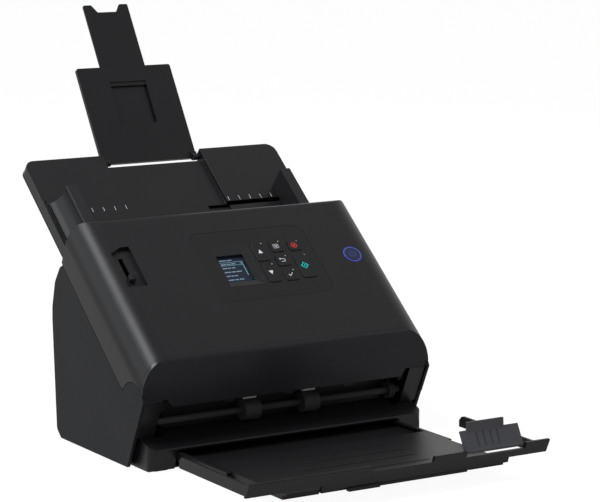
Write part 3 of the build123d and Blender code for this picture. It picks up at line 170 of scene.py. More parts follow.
@dataclass
class NodeGroups:
    """Shader groups that several finishes share, built once."""

    grain_detail: float = 3.0
    patch_scale: float = 9.0
    drift_detail: float = 4.0
    dust_scale: float = 120.0
    dust_detail: float = 6.0
    dust_amount: float = 0.02
    dust_colour: Colour = (0.35, 0.34, 0.33)
    film_scale: float = 70.0
    film_detail: float = 4.0
    film_clear: Colour = (0.9, 0.9, 0.9)
    film_colour: Colour = (0.80, 0.81, 0.82)
    film_range: tuple[float, float] = (0.45, 0.75)
    film_share: float = 0.25
    film_roughness: float = 0.08
    brush_stretch: Place = (1.0, 40.0, 1.0)
    brush_detail: float = 5.0

    def __post_init__(self) -> None:
        """Build every group."""
        self.grain = self._grain()
        self.drift = self._drift()
        self.dust = self._dust()
        self.brushed = self._brushed()
        self.film = self._film()

    @staticmethod
    def _begin(name: str, inputs: list[tuple[str, str, object]],
               outputs: list[tuple[str, str]]) -> tuple[Tree, Node, Node]:
        """Start a group.

        Args:
            name: the group's name.
            inputs: name, socket type and default of each input.
            outputs: name and socket type of each output.

        Returns:
            The tree, its input node and its output node.
        """
        tree = bpy.data.node_groups.new(name, "ShaderNodeTree")
        for label, kind, value in inputs:
            socket = tree.interface.new_socket(label, in_out="INPUT", socket_type=kind)
            socket.default_value = value
        for label, kind in outputs:
            tree.interface.new_socket(label, in_out="OUTPUT", socket_type=kind)
        return tree, add_node(tree, "NodeGroupInput"), add_node(tree, "NodeGroupOutput")

    def _grain(self) -> Tree:
        """Make the fine spark texture of moulded plastic.

        Returns:
            The group.
        """
        tree, start, end = self._begin(
            "moulded_grain",
            [("Scale", FLOAT_SOCKET, GRAIN_SCALE)],
            [("Height", FLOAT_SOCKET), ("Mask", FLOAT_SOCKET)],
        )
        place = add_node(tree, "ShaderNodeTexCoord")
        noise = add_node(tree, "ShaderNodeTexNoise", {"Detail": self.grain_detail})
        cells = add_node(tree, "ShaderNodeTexVoronoi")
        patches = add_node(tree, "ShaderNodeTexNoise", {"Scale": self.patch_scale})
        both = add_node(tree, "ShaderNodeMath", operation="ADD")
        wire(
            (place, "Object", noise, "Vector"),
            (place, "Object", cells, "Vector"),
            (place, "Object", patches, "Vector"),
            (start, "Scale", noise, "Scale"),
            (start, "Scale", cells, "Scale"),
            (noise, "Fac", both, 0),
            (cells, "Distance", both, 1),
            (both, 0, end, "Height"),
            (patches, "Fac", end, "Mask"),
        )
        return tree

    def _drift(self) -> Tree:
        """Make a slow change between two close colours.

        Returns:
            The group.
        """
        tree, start, end = self._begin(
            "colour_drift",
            [("Colour", COLOUR_SOCKET, (*DARK, 1)), ("Second", COLOUR_SOCKET, (*LESS_DARK, 1)),
             ("Scale", FLOAT_SOCKET, DRIFT_SCALE)],
            [("Colour", COLOUR_SOCKET)],
        )
        place = add_node(tree, "ShaderNodeTexCoord")
        noise = add_node(tree, "ShaderNodeTexNoise", {"Detail": self.drift_detail})
        mix = add_node(tree, "ShaderNodeMix", data_type="RGBA")
        wire(
            (place, "Object", noise, "Vector"),
            (start, "Scale", noise, "Scale"),
            (noise, "Fac", mix, "Factor"),
            (start, "Colour", mix, "A"),
            (start, "Second", mix, "B"),
            (mix, "Result", end, "Colour"),
        )
        return tree

    def _dust(self) -> Tree:
        """Make a faint pale bloom where dust settles on faces that look up.

        Returns:
            The group.
        """
        tree, start, end = self._begin(
            "settled_dust",
            [("Colour", COLOUR_SOCKET, (*DARK, 1)), ("Amount", FLOAT_SOCKET, self.dust_amount)],
            [("Colour", COLOUR_SOCKET), ("Mask", FLOAT_SOCKET)],
        )
        place = add_node(tree, "ShaderNodeTexCoord")
        noise = add_node(tree, "ShaderNodeTexNoise",
                         {"Scale": self.dust_scale, "Detail": self.dust_detail})
        facing = add_node(tree, "ShaderNodeNewGeometry")
        split = add_node(tree, "ShaderNodeSeparateXYZ")
        settled = add_node(tree, "ShaderNodeMath", operation="MULTIPLY", use_clamp=True)
        amount = add_node(tree, "ShaderNodeMath", operation="MULTIPLY")
        mix = add_node(tree, "ShaderNodeMix", {"B": (*self.dust_colour, 1)}, data_type="RGBA")
        wire(
            (place, "Object", noise, "Vector"),
            (facing, "Normal", split, 0),
            (split, "Z", settled, 0),
            (noise, "Fac", settled, 1),
            (settled, 0, amount, 0),
            (start, "Amount", amount, 1),
            (amount, 0, mix, "Factor"),
            (start, "Colour", mix, "A"),
            (mix, "Result", end, "Colour"),
            (settled, 0, end, "Mask"),
        )
        return tree

    def _film(self) -> Tree:
        """Make the faint film on a clear pane: a little duller and less even in patches.

        Returns:
            The group.
        """
        tree, start, end = self._begin(
            "pane_film",
            [("Colour", COLOUR_SOCKET, (*self.film_clear, 1)),
             ("Roughness", FLOAT_SOCKET, LEAST_ROUGHNESS)],
            [("Colour", COLOUR_SOCKET), ("Mask", FLOAT_SOCKET)],
        )
        low, high = self.film_range
        place = add_node(tree, "ShaderNodeTexCoord")
        noise = add_node(tree, "ShaderNodeTexNoise",
                         {"Scale": self.film_scale, "Detail": self.film_detail})
        shade = add_node(tree, "ShaderNodeMix", {"B": (*self.film_colour, 1)}, data_type="RGBA")
        patch = add_node(tree, "ShaderNodeMapRange",
                         {"From Min": low, "From Max": high, "To Max": self.film_share})
        rough = add_node(tree, "ShaderNodeMath", {1: self.film_roughness},
                         operation="MULTIPLY_ADD")
        wire(
            (place, "Object", noise, "Vector"),
            (noise, "Fac", patch, "Value"),
            (patch, "Result", shade, "Factor"),
            (start, "Colour", shade, "A"),
            (patch, "Result", rough, 0),
            (start, "Roughness", rough, 2),
            (shade, "Result", end, "Colour"),
            (rough, 0, end, "Mask"),
        )
        return tree

    def _brushed(self) -> Tree:
        """Make the fine lines that a brush or a roll leaves on metal.

        Returns:
            The group.
        """
        tree, start, end = self._begin(
            "brushed_lines",
            [("Scale", FLOAT_SOCKET, BRUSH_SCALE)],
            [("Height", FLOAT_SOCKET), ("Mask", FLOAT_SOCKET)],
        )
        place = add_node(tree, "ShaderNodeTexCoord")
        stretch = add_node(tree, "ShaderNodeMapping", {"Scale": self.brush_stretch})
        noise = add_node(tree, "ShaderNodeTexNoise", {"Detail": self.brush_detail})
        wire(
            (place, "Object", stretch, "Vector"),
            (stretch, "Vector", noise, "Vector"),
            (start, "Scale", noise, "Scale"),
            (noise, "Fac", end, "Height"),
            (noise, "Fac", end, "Mask"),
        )
        return tree


@dataclass(frozen=True)
class Finish:
    """One finish of the scanner, as its maker would order it."""

    name: str
    colour: Colour
    roughness: float
    kind: Kind = Kind.MOULDED
    grain: float = GRAIN_SCALE
    depth: float = 0.00002
    dust: float = 0.004
    coat: float = 0.0
    glow: float = 0.0
    specular: float = 0.12

    def build(self, groups: NodeGroups) -> bpy.types.Material:
        """Make the material.

        Args:
            groups: the shared shader groups.

        Returns:
            The finished material.
        """
        material = bpy.data.materials.new(self.name)
        material.use_nodes = True
        tree = material.node_tree
        shader = tree.nodes["Principled BSDF"]
        metal = self.kind is Kind.METAL
        fill(shader, {
            "Roughness": self.roughness,
            "Metallic": 1.0 if metal else 0.0,
            "Coat Weight": self.coat,
            "Coat Roughness": COAT_ROUGHNESS,
            "Specular IOR Level": METAL_SPECULAR if metal else self.specular,
        })
        if self.kind is Kind.GLASS:
            fill(shader, {"Transmission Weight": 1.0, "IOR": GLASS_IOR})
            self._film(tree, shader, groups)
        elif self.kind is Kind.LIT:
            fill(shader, {"Emission Strength": self.glow})
            self._light(tree, shader, groups)
        else:
            self._colour(tree, shader, groups)
            self._surface(tree, shader, groups)
        return material

    def _colour(self, tree: Tree, shader: Node, groups: NodeGroups) -> None:
        """Feed the base colour through the drift and the dust.

        Args:
            tree: the material's tree.
            shader: its shader.
            groups: the shared shader groups.
        """
        second = [min(1.0, v * DRIFT_GAIN + DRIFT_LIFT) for v in self.colour]
        drift = add_node(tree, "ShaderNodeGroup",
                         {"Colour": (*self.colour, 1), "Second": (*second, 1)},
                         node_tree=groups.drift)
        dust = add_node(tree, "ShaderNodeGroup", {"Amount": self.dust}, node_tree=groups.dust)
        wire(
            (drift, "Colour", dust, "Colour"),
            (dust, "Colour", shader, "Base Color"),
        )

    def _film(self, tree: Tree, shader: Node, groups: NodeGroups) -> None:
        """Feed a clear pane's colour and roughness through the film that hands and dust leave.

        Args:
            tree: the material's tree.
            shader: its shader.
            groups: the shared shader groups.
        """
        film = add_node(tree, "ShaderNodeGroup",
                        {"Colour": (*self.colour, 1), "Roughness": self.roughness},
                        node_tree=groups.film)
        wire(
            (film, "Colour", shader, "Base Color"),
            (film, "Mask", shader, "Roughness"),
        )

    def _light(self, tree: Tree, shader: Node, groups: NodeGroups) -> None:
        """Feed a lit face's colours through the slight unevenness of the light behind it.

        Args:
            tree: the material's tree.
            shader: its shader.
            groups: the shared shader groups.
        """
        second = [v * GLOW_DROP for v in self.colour]
        spread = add_node(tree, "ShaderNodeGroup",
                          {"Colour": (*self.colour, 1), "Second": (*second, 1),
                           "Scale": GLOW_SCALE},
                          node_tree=groups.drift)
        wire(
            (spread, "Colour", shader, "Base Color"),
            (spread, "Colour", shader, "Emission Color"),
        )

    def _surface(self, tree: Tree, shader: Node, groups: NodeGroups) -> None:
        """Feed roughness and bump from the grain or the brushed lines.

        Args:
            tree: the material's tree.
            shader: its shader.
            groups: the shared shader groups.
        """
        metal = self.kind is Kind.METAL
        grain = add_node(tree, "ShaderNodeGroup",
                         {"Scale": BRUSH_SCALE if metal else self.grain},
                         node_tree=groups.brushed if metal else groups.grain)
        spread = add_node(tree, "ShaderNodeMapRange", {
            "To Min": max(LEAST_ROUGHNESS, self.roughness - ROUGHNESS_SPREAD),
            "To Max": min(1.0, self.roughness + ROUGHNESS_SPREAD)})
        bump = add_node(tree, "ShaderNodeBump",
                        {"Strength": BUMP_STRENGTH, "Distance": self.depth})
        wire(
            (grain, "Mask", spread, "Value"),
            (spread, "Result", shader, "Roughness"),
            (grain, "Height", bump, "Height"),
            (bump, "Normal", shader, "Normal"),
        )


FINISHES: tuple[Finish, ...] = (
    Finish("black_case", (0.0052, 0.0052, 0.0060), 0.36, specular=0.14),
    Finish("black_gloss", (0.0085, 0.0088, 0.0105), 0.27, depth=0.000004, coat=0.03),
    Finish("panel_black", (0.0058, 0.0058, 0.0062), 0.40, depth=0.00001),
    Finish("screen_glass", (0.92, 0.95, 1.0), 0.03, Kind.GLASS),
    Finish("button_blue", (0.004, 0.007, 0.024), 0.28, depth=0.000004, coat=0.2),
    Finish("light_blue", (0.040, 0.055, 0.27), 0.35, Kind.LIT, glow=0.6),
    Finish("board_green", (0.015, 0.10, 0.035), 0.4, depth=0.00001),
    Finish("lever_grey", (0.020, 0.020, 0.022), 0.42),
    Finish("guide_black", (0.0070, 0.0070, 0.0075), 0.45),
    Finish("sensor_black", (0.008, 0.008, 0.009), 0.5),
    Finish("clear_glass", (0.9, 0.95, 0.94), 0.02, Kind.GLASS),
    Finish("roller_rubber", (0.030, 0.030, 0.031), 0.72, Kind.RUBBER, 1400.0, 0.00005),
    Finish("roller_plastic", (0.52, 0.52, 0.50), 0.42),
    Finish("side_black", (0.0058, 0.0062, 0.0074), 0.50, depth=0.00003, specular=0.07),
    Finish("steel_pin", (0.55, 0.55, 0.56), 0.3, Kind.METAL),
    Finish("foot_rubber", (0.02, 0.02, 0.02), 0.85, Kind.RUBBER, 900.0, 0.00006),
    Finish("sheet_metal", (0.50, 0.51, 0.52), 0.38, Kind.METAL),
    Finish("connector_metal", (0.58, 0.58, 0.59), 0.28, Kind.METAL),
    Finish("motor_metal", (0.32, 0.32, 0.33), 0.4, Kind.METAL),
    Finish("pulley_metal", (0.68, 0.68, 0.69), 0.3, Kind.METAL),
    Finish("belt_rubber", (0.015, 0.015, 0.015), 0.75, Kind.RUBBER, 1600.0, 0.00004),
    Finish("side_guide", (0.0090, 0.0090, 0.0100), 0.42),
    Finish("tray_black", (0.0050, 0.0050, 0.0055), 0.38),
    Finish("stopper_grey", (0.040, 0.040, 0.044), 0.48),
    Finish("key_black", (0.0055, 0.0055, 0.0060), 0.36, depth=0.000008),
    Finish("key_grey", (0.0060, 0.0064, 0.0068), 0.36, depth=0.000008),
    Finish("mark_pale", (0.50, 0.52, 0.54), 0.5, dust=0.0),
    Finish("mark_red", (0.60, 0.03, 0.035), 0.45, dust=0.0),
    Finish("mark_teal", (0.0, 0.45, 0.42), 0.45, dust=0.0),
    Finish("mark_blue", (0.030, 0.042, 0.20), 0.4, Kind.LIT, glow=0.4),
    Finish("display_dark", (0.006, 0.010, 0.020), 0.3, Kind.LIT, glow=0.6),
    Finish("display_line", (0.13, 0.18, 0.22), 0.3, Kind.LIT, glow=0.6),
    Finish("display_title", (0.12, 0.24, 0.27), 0.3, Kind.LIT, glow=0.6),
)


class Materials:
    """Every finish as a Blender material."""

    def __init__(self) -> None:
        """Build the groups and the materials."""
        groups = NodeGroups()
        self.made = {finish.name: finish.build(groups) for finish in FINISHES}

    def __getitem__(self, name: str) -> bpy.types.Material:
        """Return the material of that name."""
        return self.made[name]


def body_of(node: str) -> str:
    """Return the body that a CAD node belongs to.

    Args:
        node: a node's name.

    Returns:
        The body's name.
    """
    for body, members in frame["record"]["behaviour"]["bodies"].items():
        if node in members:
            return body
    raise KeyError(node)


def put(mesh: bpy.types.Mesh, name: str, body: str,
        material: bpy.types.Material) -> bpy.types.Object:
    """Add a mesh as a piece that rides on a body.

    Args:
        mesh: the piece's mesh, already in place.
        name: the piece's name.
        body: the body it moves with.
        material: its finish.

    Returns:
        The new object.
    """
    piece = bpy.data.objects.new(name, mesh)
    bpy.context.scene.collection.objects.link(piece)
    mesh.materials.clear()
    mesh.materials.append(material)
    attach(piece, body)
    LOG.info("piece %s on %s: %d faces", name, body, len(mesh.polygons))
    return piece


def modified_mesh(holder: bpy.types.Object, name: str) -> bpy.types.Mesh:
    """Keep what an object's modifiers make as a plain mesh, and remove the object.

    Args:
        holder: the object with its modifiers.
        name: the mesh's name.

    Returns:
        The mesh.
    """
    graph = bpy.context.evaluated_depsgraph_get()
    mesh = bpy.data.meshes.new_from_object(holder.evaluated_get(graph))
    bpy.data.objects.remove(holder)
    mesh.name = name
    return mesh


def slope_plates(name: str, outlines: list[Outline], top: float, bottom: float) -> bpy.types.Mesh:
    """Make thin plates on the sloping face.

    Args:
        name: the mesh's name.
        outlines: each plate's corners as across and up, anticlockwise.
        top: depth of the upper face, negative above the slope.
        bottom: depth of the lower face.

    Returns:
        The mesh.
    """
    shape = bmesh.new()
    for outline in outlines:
        upper = [shape.verts.new(SLOPE.point(x, s, top)) for x, s in outline]
        lower = [shape.verts.new(SLOPE.point(x, s, bottom)) for x, s in outline]
        shape.faces.new(upper)
        shape.faces.new(list(reversed(lower)))
        for i in range(len(outline)):
            j = (i + 1) % len(outline)
            shape.faces.new((upper[i], lower[i], lower[j], upper[j]))
    bmesh.ops.recalc_face_normals(shape, faces=shape.faces)
    mesh = bpy.data.meshes.new(name)
    shape.to_mesh(mesh)
    shape.free()
    return mesh


def arc(cx: float, cy: float, radius: float, start: float, end: float, steps: int) -> Outline:
    """Return points along an arc.

    Args:
        cx: the centre's place across.
        cy: the centre's place up.
        radius: the arc's radius.
        start: where it starts, in degrees.
        end: where it ends, in degrees.
        steps: how many equal steps it has.

    Returns:
        The points, one more than the steps.
    """
    points = []
    for i in range(steps + 1):
        a = math.radians(start + (end - start) * i / steps)
        points.append((cx + radius * math.cos(a), cy + radius * math.sin(a)))
    return points


def band(cx: float, cy: float, radius: float, width: float, start: float,
         end: float) -> list[Outline]:
    """Return a curved stroke as short four-sided plates.

    Args:
        cx: the centre's place across.
        cy: the centre's place up.
        radius: the radius of the stroke's middle.
        width: the stroke's width.
        start: where it starts, in degrees.
        end: where it ends, in degrees.

    Returns:
        The plates.
    """
    steps = max(LEAST_ARC_STEPS, int(abs(end - start) / ARC_STEP))
    inner = arc(cx, cy, radius - width / 2, start, end, steps)
    outer = arc(cx, cy, radius + width / 2, start, end, steps)
    return [[inner[i], outer[i], outer[i + 1], inner[i + 1]] for i in range(steps)]


def bar(x0: float, x1: float, s0: float, s1: float) -> Outline:
    """Return a four-sided plate."""
    return [(x0, s0), (x1, s0), (x1, s1), (x0, s1)]


@dataclass
class RoundedShells:
    """CAD nodes whose edges get the small radius in millimetres that a mould leaves."""

    sharp: float = 28.0
    flat: float = 0.6
    segments: int = 2
    even_weight: int = 90
    slack: float = 1e-4
    volume_change: float = 0.04
    nodes: dict[str, float] = field(default_factory=lambda: {
        "front_cover": 0.45, "front_lower_cover": 0.4, "control_panel": 0.2,
        "left_side_cover": 0.5, "right_side_cover": 0.5, "left_pillar": 0.5, "right_pillar": 0.5,
        "exit_shelf": 0.5, "feed_tray": 0.5, "left_guide": 0.5, "right_guide": 0.5,
        "feed_support": 0.3, "feed_support_extension": 0.3, "eject_tray": 0.3,
        "eject_tray_frame": 0.35, "eject_extension": 0.3, "eject_stopper": 0.3,
        "feed_mode_lever": 0.4, "rear_cover": 0.4, "power_button": 0.3, "power_light_ring": 0.12,
        "up_key": 0.3, "down_key": 0.3, "menu_key": 0.3, "stop_key": 0.3, "back_key": 0.3,
        "ok_key": 0.3, "start_key": 0.3, "lower_guide": 0.3, "front_inner_guide": 0.3,
        "feed_tray_back": 0.5, "base_pan": 0.4,
    })

    def build(self, materials: Materials, slots: dict[str, str]) -> None:
        """Replace each node with its rounded copy.

        Args:
            materials: the finishes.
            slots: each node's finish.
        """
        for node, radius in self.nodes.items():
            mesh = self._rounded(node, radius)
            if mesh is None:
                LOG.info("node %s keeps its own edges", node)
                continue
            piece = put(mesh, node + "_moulded", body_of(node), materials[slots[node]])
            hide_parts(node)

    def _rounded(self, node: str, radius: float) -> bpy.types.Mesh | None:
        """Return the node's mesh with rounded edges, or None where that spoils it.

        Args:
            node: the CAD node.
            radius: the edge radius in millimetres.

        Returns:
            The new mesh or None.
        """
        source = frame["nodes"][node].data
        holder = bpy.data.objects.new(node + "_holder", self._merged(node, source))
        bpy.context.scene.collection.objects.link(holder)
        bevel = holder.modifiers.new("edge radius", "BEVEL")
        bevel.width = radius * MM
        bevel.segments = self.segments
        bevel.limit_method = "ANGLE"
        bevel.angle_limit = math.radians(self.sharp)
        bevel.miter_outer = "MITER_ARC"
        bevel.use_clamp_overlap = True
        even = holder.modifiers.new("even shading", "WEIGHTED_NORMAL")
        even.mode = "FACE_AREA"
        even.weight = self.even_weight
        even.keep_sharp = True
        mesh = modified_mesh(holder, node + "_moulded")
        volume, before = self._volume(mesh, weld=False), self._volume(source, weld=True)
        low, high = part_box(node)
        inside = all(low[k] - self.slack <= vertex.co[k] <= high[k] + self.slack
                     for vertex in mesh.vertices for k in range(3))
        if not inside or abs(volume - before) > self.volume_change * before:
            LOG.info("node %s: rounding refused at %.3f of its volume", node, volume / before)
            return None
        return mesh

    def _merged(self, node: str, source: bpy.types.Mesh) -> bpy.types.Mesh:
        """Return a copy of a node's loose triangles as one skin with flat faces made whole.

        Args:
            node: the CAD node.
            source: its mesh, left as it is.

        Returns:
            The copy, smooth but for its sharp edges.
        """
        shape = bmesh.new()
        shape.from_mesh(source)
        bmesh.ops.remove_doubles(shape, verts=shape.verts, dist=WELD)
        bmesh.ops.dissolve_limit(shape, angle_limit=math.radians(self.flat), verts=shape.verts,
                                 edges=shape.edges)
        plain = bpy.data.meshes.new(node + "_plain")
        shape.to_mesh(plain)
        shape.free()
        plain.shade_smooth()
        plain.set_sharp_from_angle(angle=math.radians(self.sharp))
        return plain

    @staticmethod
    def _volume(mesh: bpy.types.Mesh, weld: bool) -> float:
        """Return the volume that a mesh encloses.

        Args:
            mesh: the mesh, left as it is.
            weld: whether its triangles are loose and have to be joined first.

        Returns:
            The volume in cubic metres.
        """
        shape = bmesh.new()
        shape.from_mesh(mesh)
        if weld:
            bmesh.ops.remove_doubles(shape, verts=shape.verts, dist=WELD)
        volume = abs(shape.calc_volume())
        shape.free()
        return volume


@dataclass
class KeyMarks:
    """Printed marks on the keys, each a thin layer of ink."""

    top: float = -0.65
    ink: float = 0.08
    dot_radius: float = 0.42
    dot_corners: int = 12
    places: dict[str, tuple[float, float]] = field(default_factory=lambda: {
        "up_key": (19.4, 107.0), "down_key": (19.6, 82.0), "menu_key": (37.85, 111.5),
        "stop_key": (56.45, 110.65), "back_key": (37.15, 94.65), "ok_key": (37.5, 77.25),
        "start_key": (56.25, 86.1),
    })
    dots: dict[str, tuple[float, float]] = field(default_factory=lambda: {
        "up_key": (24.2, 116.2), "down_key": (24.2, 91.4), "menu_key": (42.4, 116.6),
        "stop_key": (61.0, 115.2), "back_key": (42.0, 99.6), "ok_key": (42.2, 82.4),
        "start_key": (61.6, 98.6),
    })

    def build(self, materials: Materials) -> None:
        """Make every key's mark and its small dot.

        Args:
            materials: the finishes.
        """
        marks = {
            "up_key": (self._triangle(1), "mark_pale"),
            "down_key": (self._triangle(-1), "mark_pale"),
            "menu_key": (self._menu(), "mark_pale"),
            "stop_key": (self._stop(), "mark_red"),
            "back_key": (self._back(), "mark_pale"),
            "ok_key": (self._tick(), "mark_pale"),
            "start_key": (self._start(), "mark_teal"),
        }
        foot = self.top + self.ink
        last_corner = 360 - 360 / self.dot_corners
        for key, (outlines, finish) in marks.items():
            x, s = self.places[key]
            moved = [[(x + a, s + b) for a, b in outline] for outline in outlines]
            mesh = slope_plates(key + "_mark", moved, self.top, foot)
            put(mesh, key + "_mark", key, materials[finish])
            x, s = self.dots[key]
            dot = arc(x, s, self.dot_radius, 0, last_corner, self.dot_corners - 1)
            mesh = slope_plates(key + "_dot", [dot], self.top, foot)
            put(mesh, key + "_dot", key, materials["mark_pale"])

    @staticmethod
    def _triangle(way: int) -> list[Outline]:
        """Return a filled triangle.

        Args:
            way: 1 to point up, -1 to point down.

        Returns:
            Its plate.
        """
        half, foot, tip = 2.3, -2.0, 2.5
        points = [(-half, foot * way), (half, foot * way), (0, tip * way)]
        return [points if way > 0 else list(reversed(points))]

    @staticmethod
    def _menu() -> list[Outline]:
        """Return a framed list.

        Returns:
            The frame's four plates and the three lines.
        """
        side, inner_side, top, inner_top = 2.6, 2.25, 2.35, 2.0
        left, right, stroke, feet = -1.4, 1.5, 0.4, (-1.2, -0.1, 0.9)
        frame_bars = [
            bar(-side, side, inner_top, top), bar(-side, side, -top, -inner_top),
            bar(-side, -inner_side, -inner_top, inner_top),
            bar(inner_side, side, -inner_top, inner_top),
        ]
        return frame_bars + [bar(left, right, y, y + stroke) for y in feet]

    @staticmethod
    def _back() -> list[Outline]:
        """Return an arrow that turns back.

        Returns:
            The bend, its two straight ends and the arrow's head.
        """
        bend_x, radius, stroke = 1.0, 1.6, 0.5
        inner, outer = 1.35, 1.85
        upper_end, lower_end = -1.6, -1.8
        head = [(-3.0, radius), (-1.5, 0.5), (-1.5, 2.7)]
        return band(bend_x, 0.0, radius, stroke, -90, 90) + [
            bar(upper_end, bend_x, inner, outer), bar(lower_end, bend_x, -outer, -inner), head]

    @staticmethod
    def _tick() -> list[Outline]:
        """Return a tick.

        Returns:
            Its short and its long stroke, which meet at the foot.
        """
        foot, notch = (-0.7, -1.9), (-0.6, -1.0)
        short = [(-2.3, 0.1), foot, notch, (-1.9, 0.6)]
        long = [foot, (2.4, 1.7), (2.0, 2.1), notch]
        return [short, long]

    @staticmethod
    def _stop() -> list[Outline]:
        """Return a square in a ring."""
        radius, stroke, half = 2.7, 0.6, 0.9
        return band(0, 0, radius, stroke, 0, 360) + [bar(-half, half, -half, half)]

    @staticmethod
    def _start() -> list[Outline]:
        """Return a diamond ring with a small diamond inside.

        Returns:
            The ring's four plates and the core.
        """
        outer, inner, core = 4.0, 2.9, 1.1
        corners = [(0, -1), (1, 0), (0, 1), (-1, 0)]
        ring = []
        for a, b in zip(corners, corners[1:] + corners[:1]):
            ring.append([(a[0] * inner, a[1] * inner), (a[0] * outer, a[1] * outer),
                         (b[0] * outer, b[1] * outer), (b[0] * inner, b[1] * inner)])
        return ring + [[(x * core, s * core) for x, s in corners]]


@dataclass
class PowerMark:
    """The lit sign on the power button."""

    x: float = 110.8
    s: float = 93.5
    top: float = -0.86
    height: float = 0.1
    radius: float = 2.9
    stroke: float = 0.65
    span: tuple[float, float] = (122, 418)
    upright_half: float = 0.33
    upright: tuple[float, float] = (0.6, 3.8)

    def build(self, materials: Materials) -> None:
        """Make a broken ring with an upright stroke.

        Args:
            materials: the finishes.
        """
        foot, head = self.upright
        outlines = band(self.x, self.s, self.radius, self.stroke, *self.span)
        outlines.append(bar(self.x - self.upright_half, self.x + self.upright_half,
                            self.s + foot, self.s + head))
        mesh = slope_plates("power_mark", outlines, self.top, self.top + self.height)
        put(mesh, "power_mark", "power_button", materials["mark_blue"])


@dataclass
class ScreenPicture:
    """What the small screen shows, as a film on its glass: unreadable lines, one of them chosen."""

    x0: float = -25.2
    x1: float = 1.0
    s0: float = 76.4
    s1: float = 107.2
    depth: float = 3.90
    back_layer: tuple[float, float] = (0.05, 0.095)
    ink_layer: tuple[float, float] = (0.02, 0.06)
    title_drop: float = 3.6
    title_words: tuple[float, ...] = (7.0, 5.0)
    rows_drop: float = 8.0
    row_step: float = 4.6
    rows: tuple[float, ...] = (13.0, 11.0, 15.5, 9.5, 14.0)
    word_shares: tuple[float, ...] = (0.42, 0.25, 0.33)
    margin: float = 2.4
    letter_height: float = 1.1
    gap: float = 0.9
    chosen_drop: tuple[float, float] = (5.6, 9.2)
    chosen_inset: tuple[float, float] = (1.2, 3.0)
    chosen_stroke: float = 0.35
    scroll_inset: tuple[float, float] = (2.2, 1.4)
    scroll_ends: tuple[float, float] = (9.0, 5.0)

    def build(self, materials: Materials) -> None:
        """Make the dark film and its pale lines on the glass.

        Args:
            materials: the finishes.
        """
        back = [bar(self.x0, self.x1, self.s0, self.s1)]
        lines = self._words(self.s1 - self.title_drop, self.title_words)
        for i, length in enumerate(self.rows):
            words = tuple(length * share for share in self.word_shares)
            lines += self._words(self.s1 - self.rows_drop - i * self.row_step, words)
        self._layer("screen_back", back, self.back_layer, materials["display_dark"])
        self._layer("screen_lines", lines, self.ink_layer, materials["display_line"])
        self._layer("screen_chosen_row", self._chosen(), self.ink_layer,
                    materials["display_title"])

    def _chosen(self) -> list[Outline]:
        """Return the frame round the chosen line and the scroll bar beside the lines.

        Returns:
            The frame's four plates and the scroll bar.
        """
        top, foot = (self.s1 - drop for drop in self.chosen_drop)
        left, right = self.x0 + self.chosen_inset[0], self.x1 - self.chosen_inset[1]
        stroke = self.chosen_stroke
        return [
            bar(left, right, top, top + stroke), bar(left, right, foot, foot + stroke),
            bar(left, left + stroke, foot, top), bar(right - stroke, right, foot, top),
            bar(self.x1 - self.scroll_inset[0], self.x1 - self.scroll_inset[1],
                self.s0 + self.scroll_ends[0], self.s1 - self.scroll_ends[1]),
        ]

    def _words(self, s: float, widths: tuple[float, ...]) -> list[Outline]:
        """Return one line of words as short bars.

        Args:
            s: how far up the slope the line stands.
            widths: each word's length.

        Returns:
            The bars.
        """
        cursor = self.x0 + self.margin
        words = []
        for width in widths:
            words.append(bar(cursor, cursor + width, s, s + self.letter_height))
            cursor += width + self.gap
        return words

    def _layer(self, name: str, outlines: list[Outline], layer: tuple[float, float],
               material: bpy.types.Material) -> None:
        """Lay one printed layer on the glass.

        Args:
            name: the piece's name.
            outlines: its plates.
            layer: how far its upper and lower faces lie under the picture's depth.
            material: its finish.
        """
        top, bottom = layer
        mesh = slope_plates(name, outlines, self.depth + top, self.depth + bottom)
        put(mesh, name, "front_unit", material)


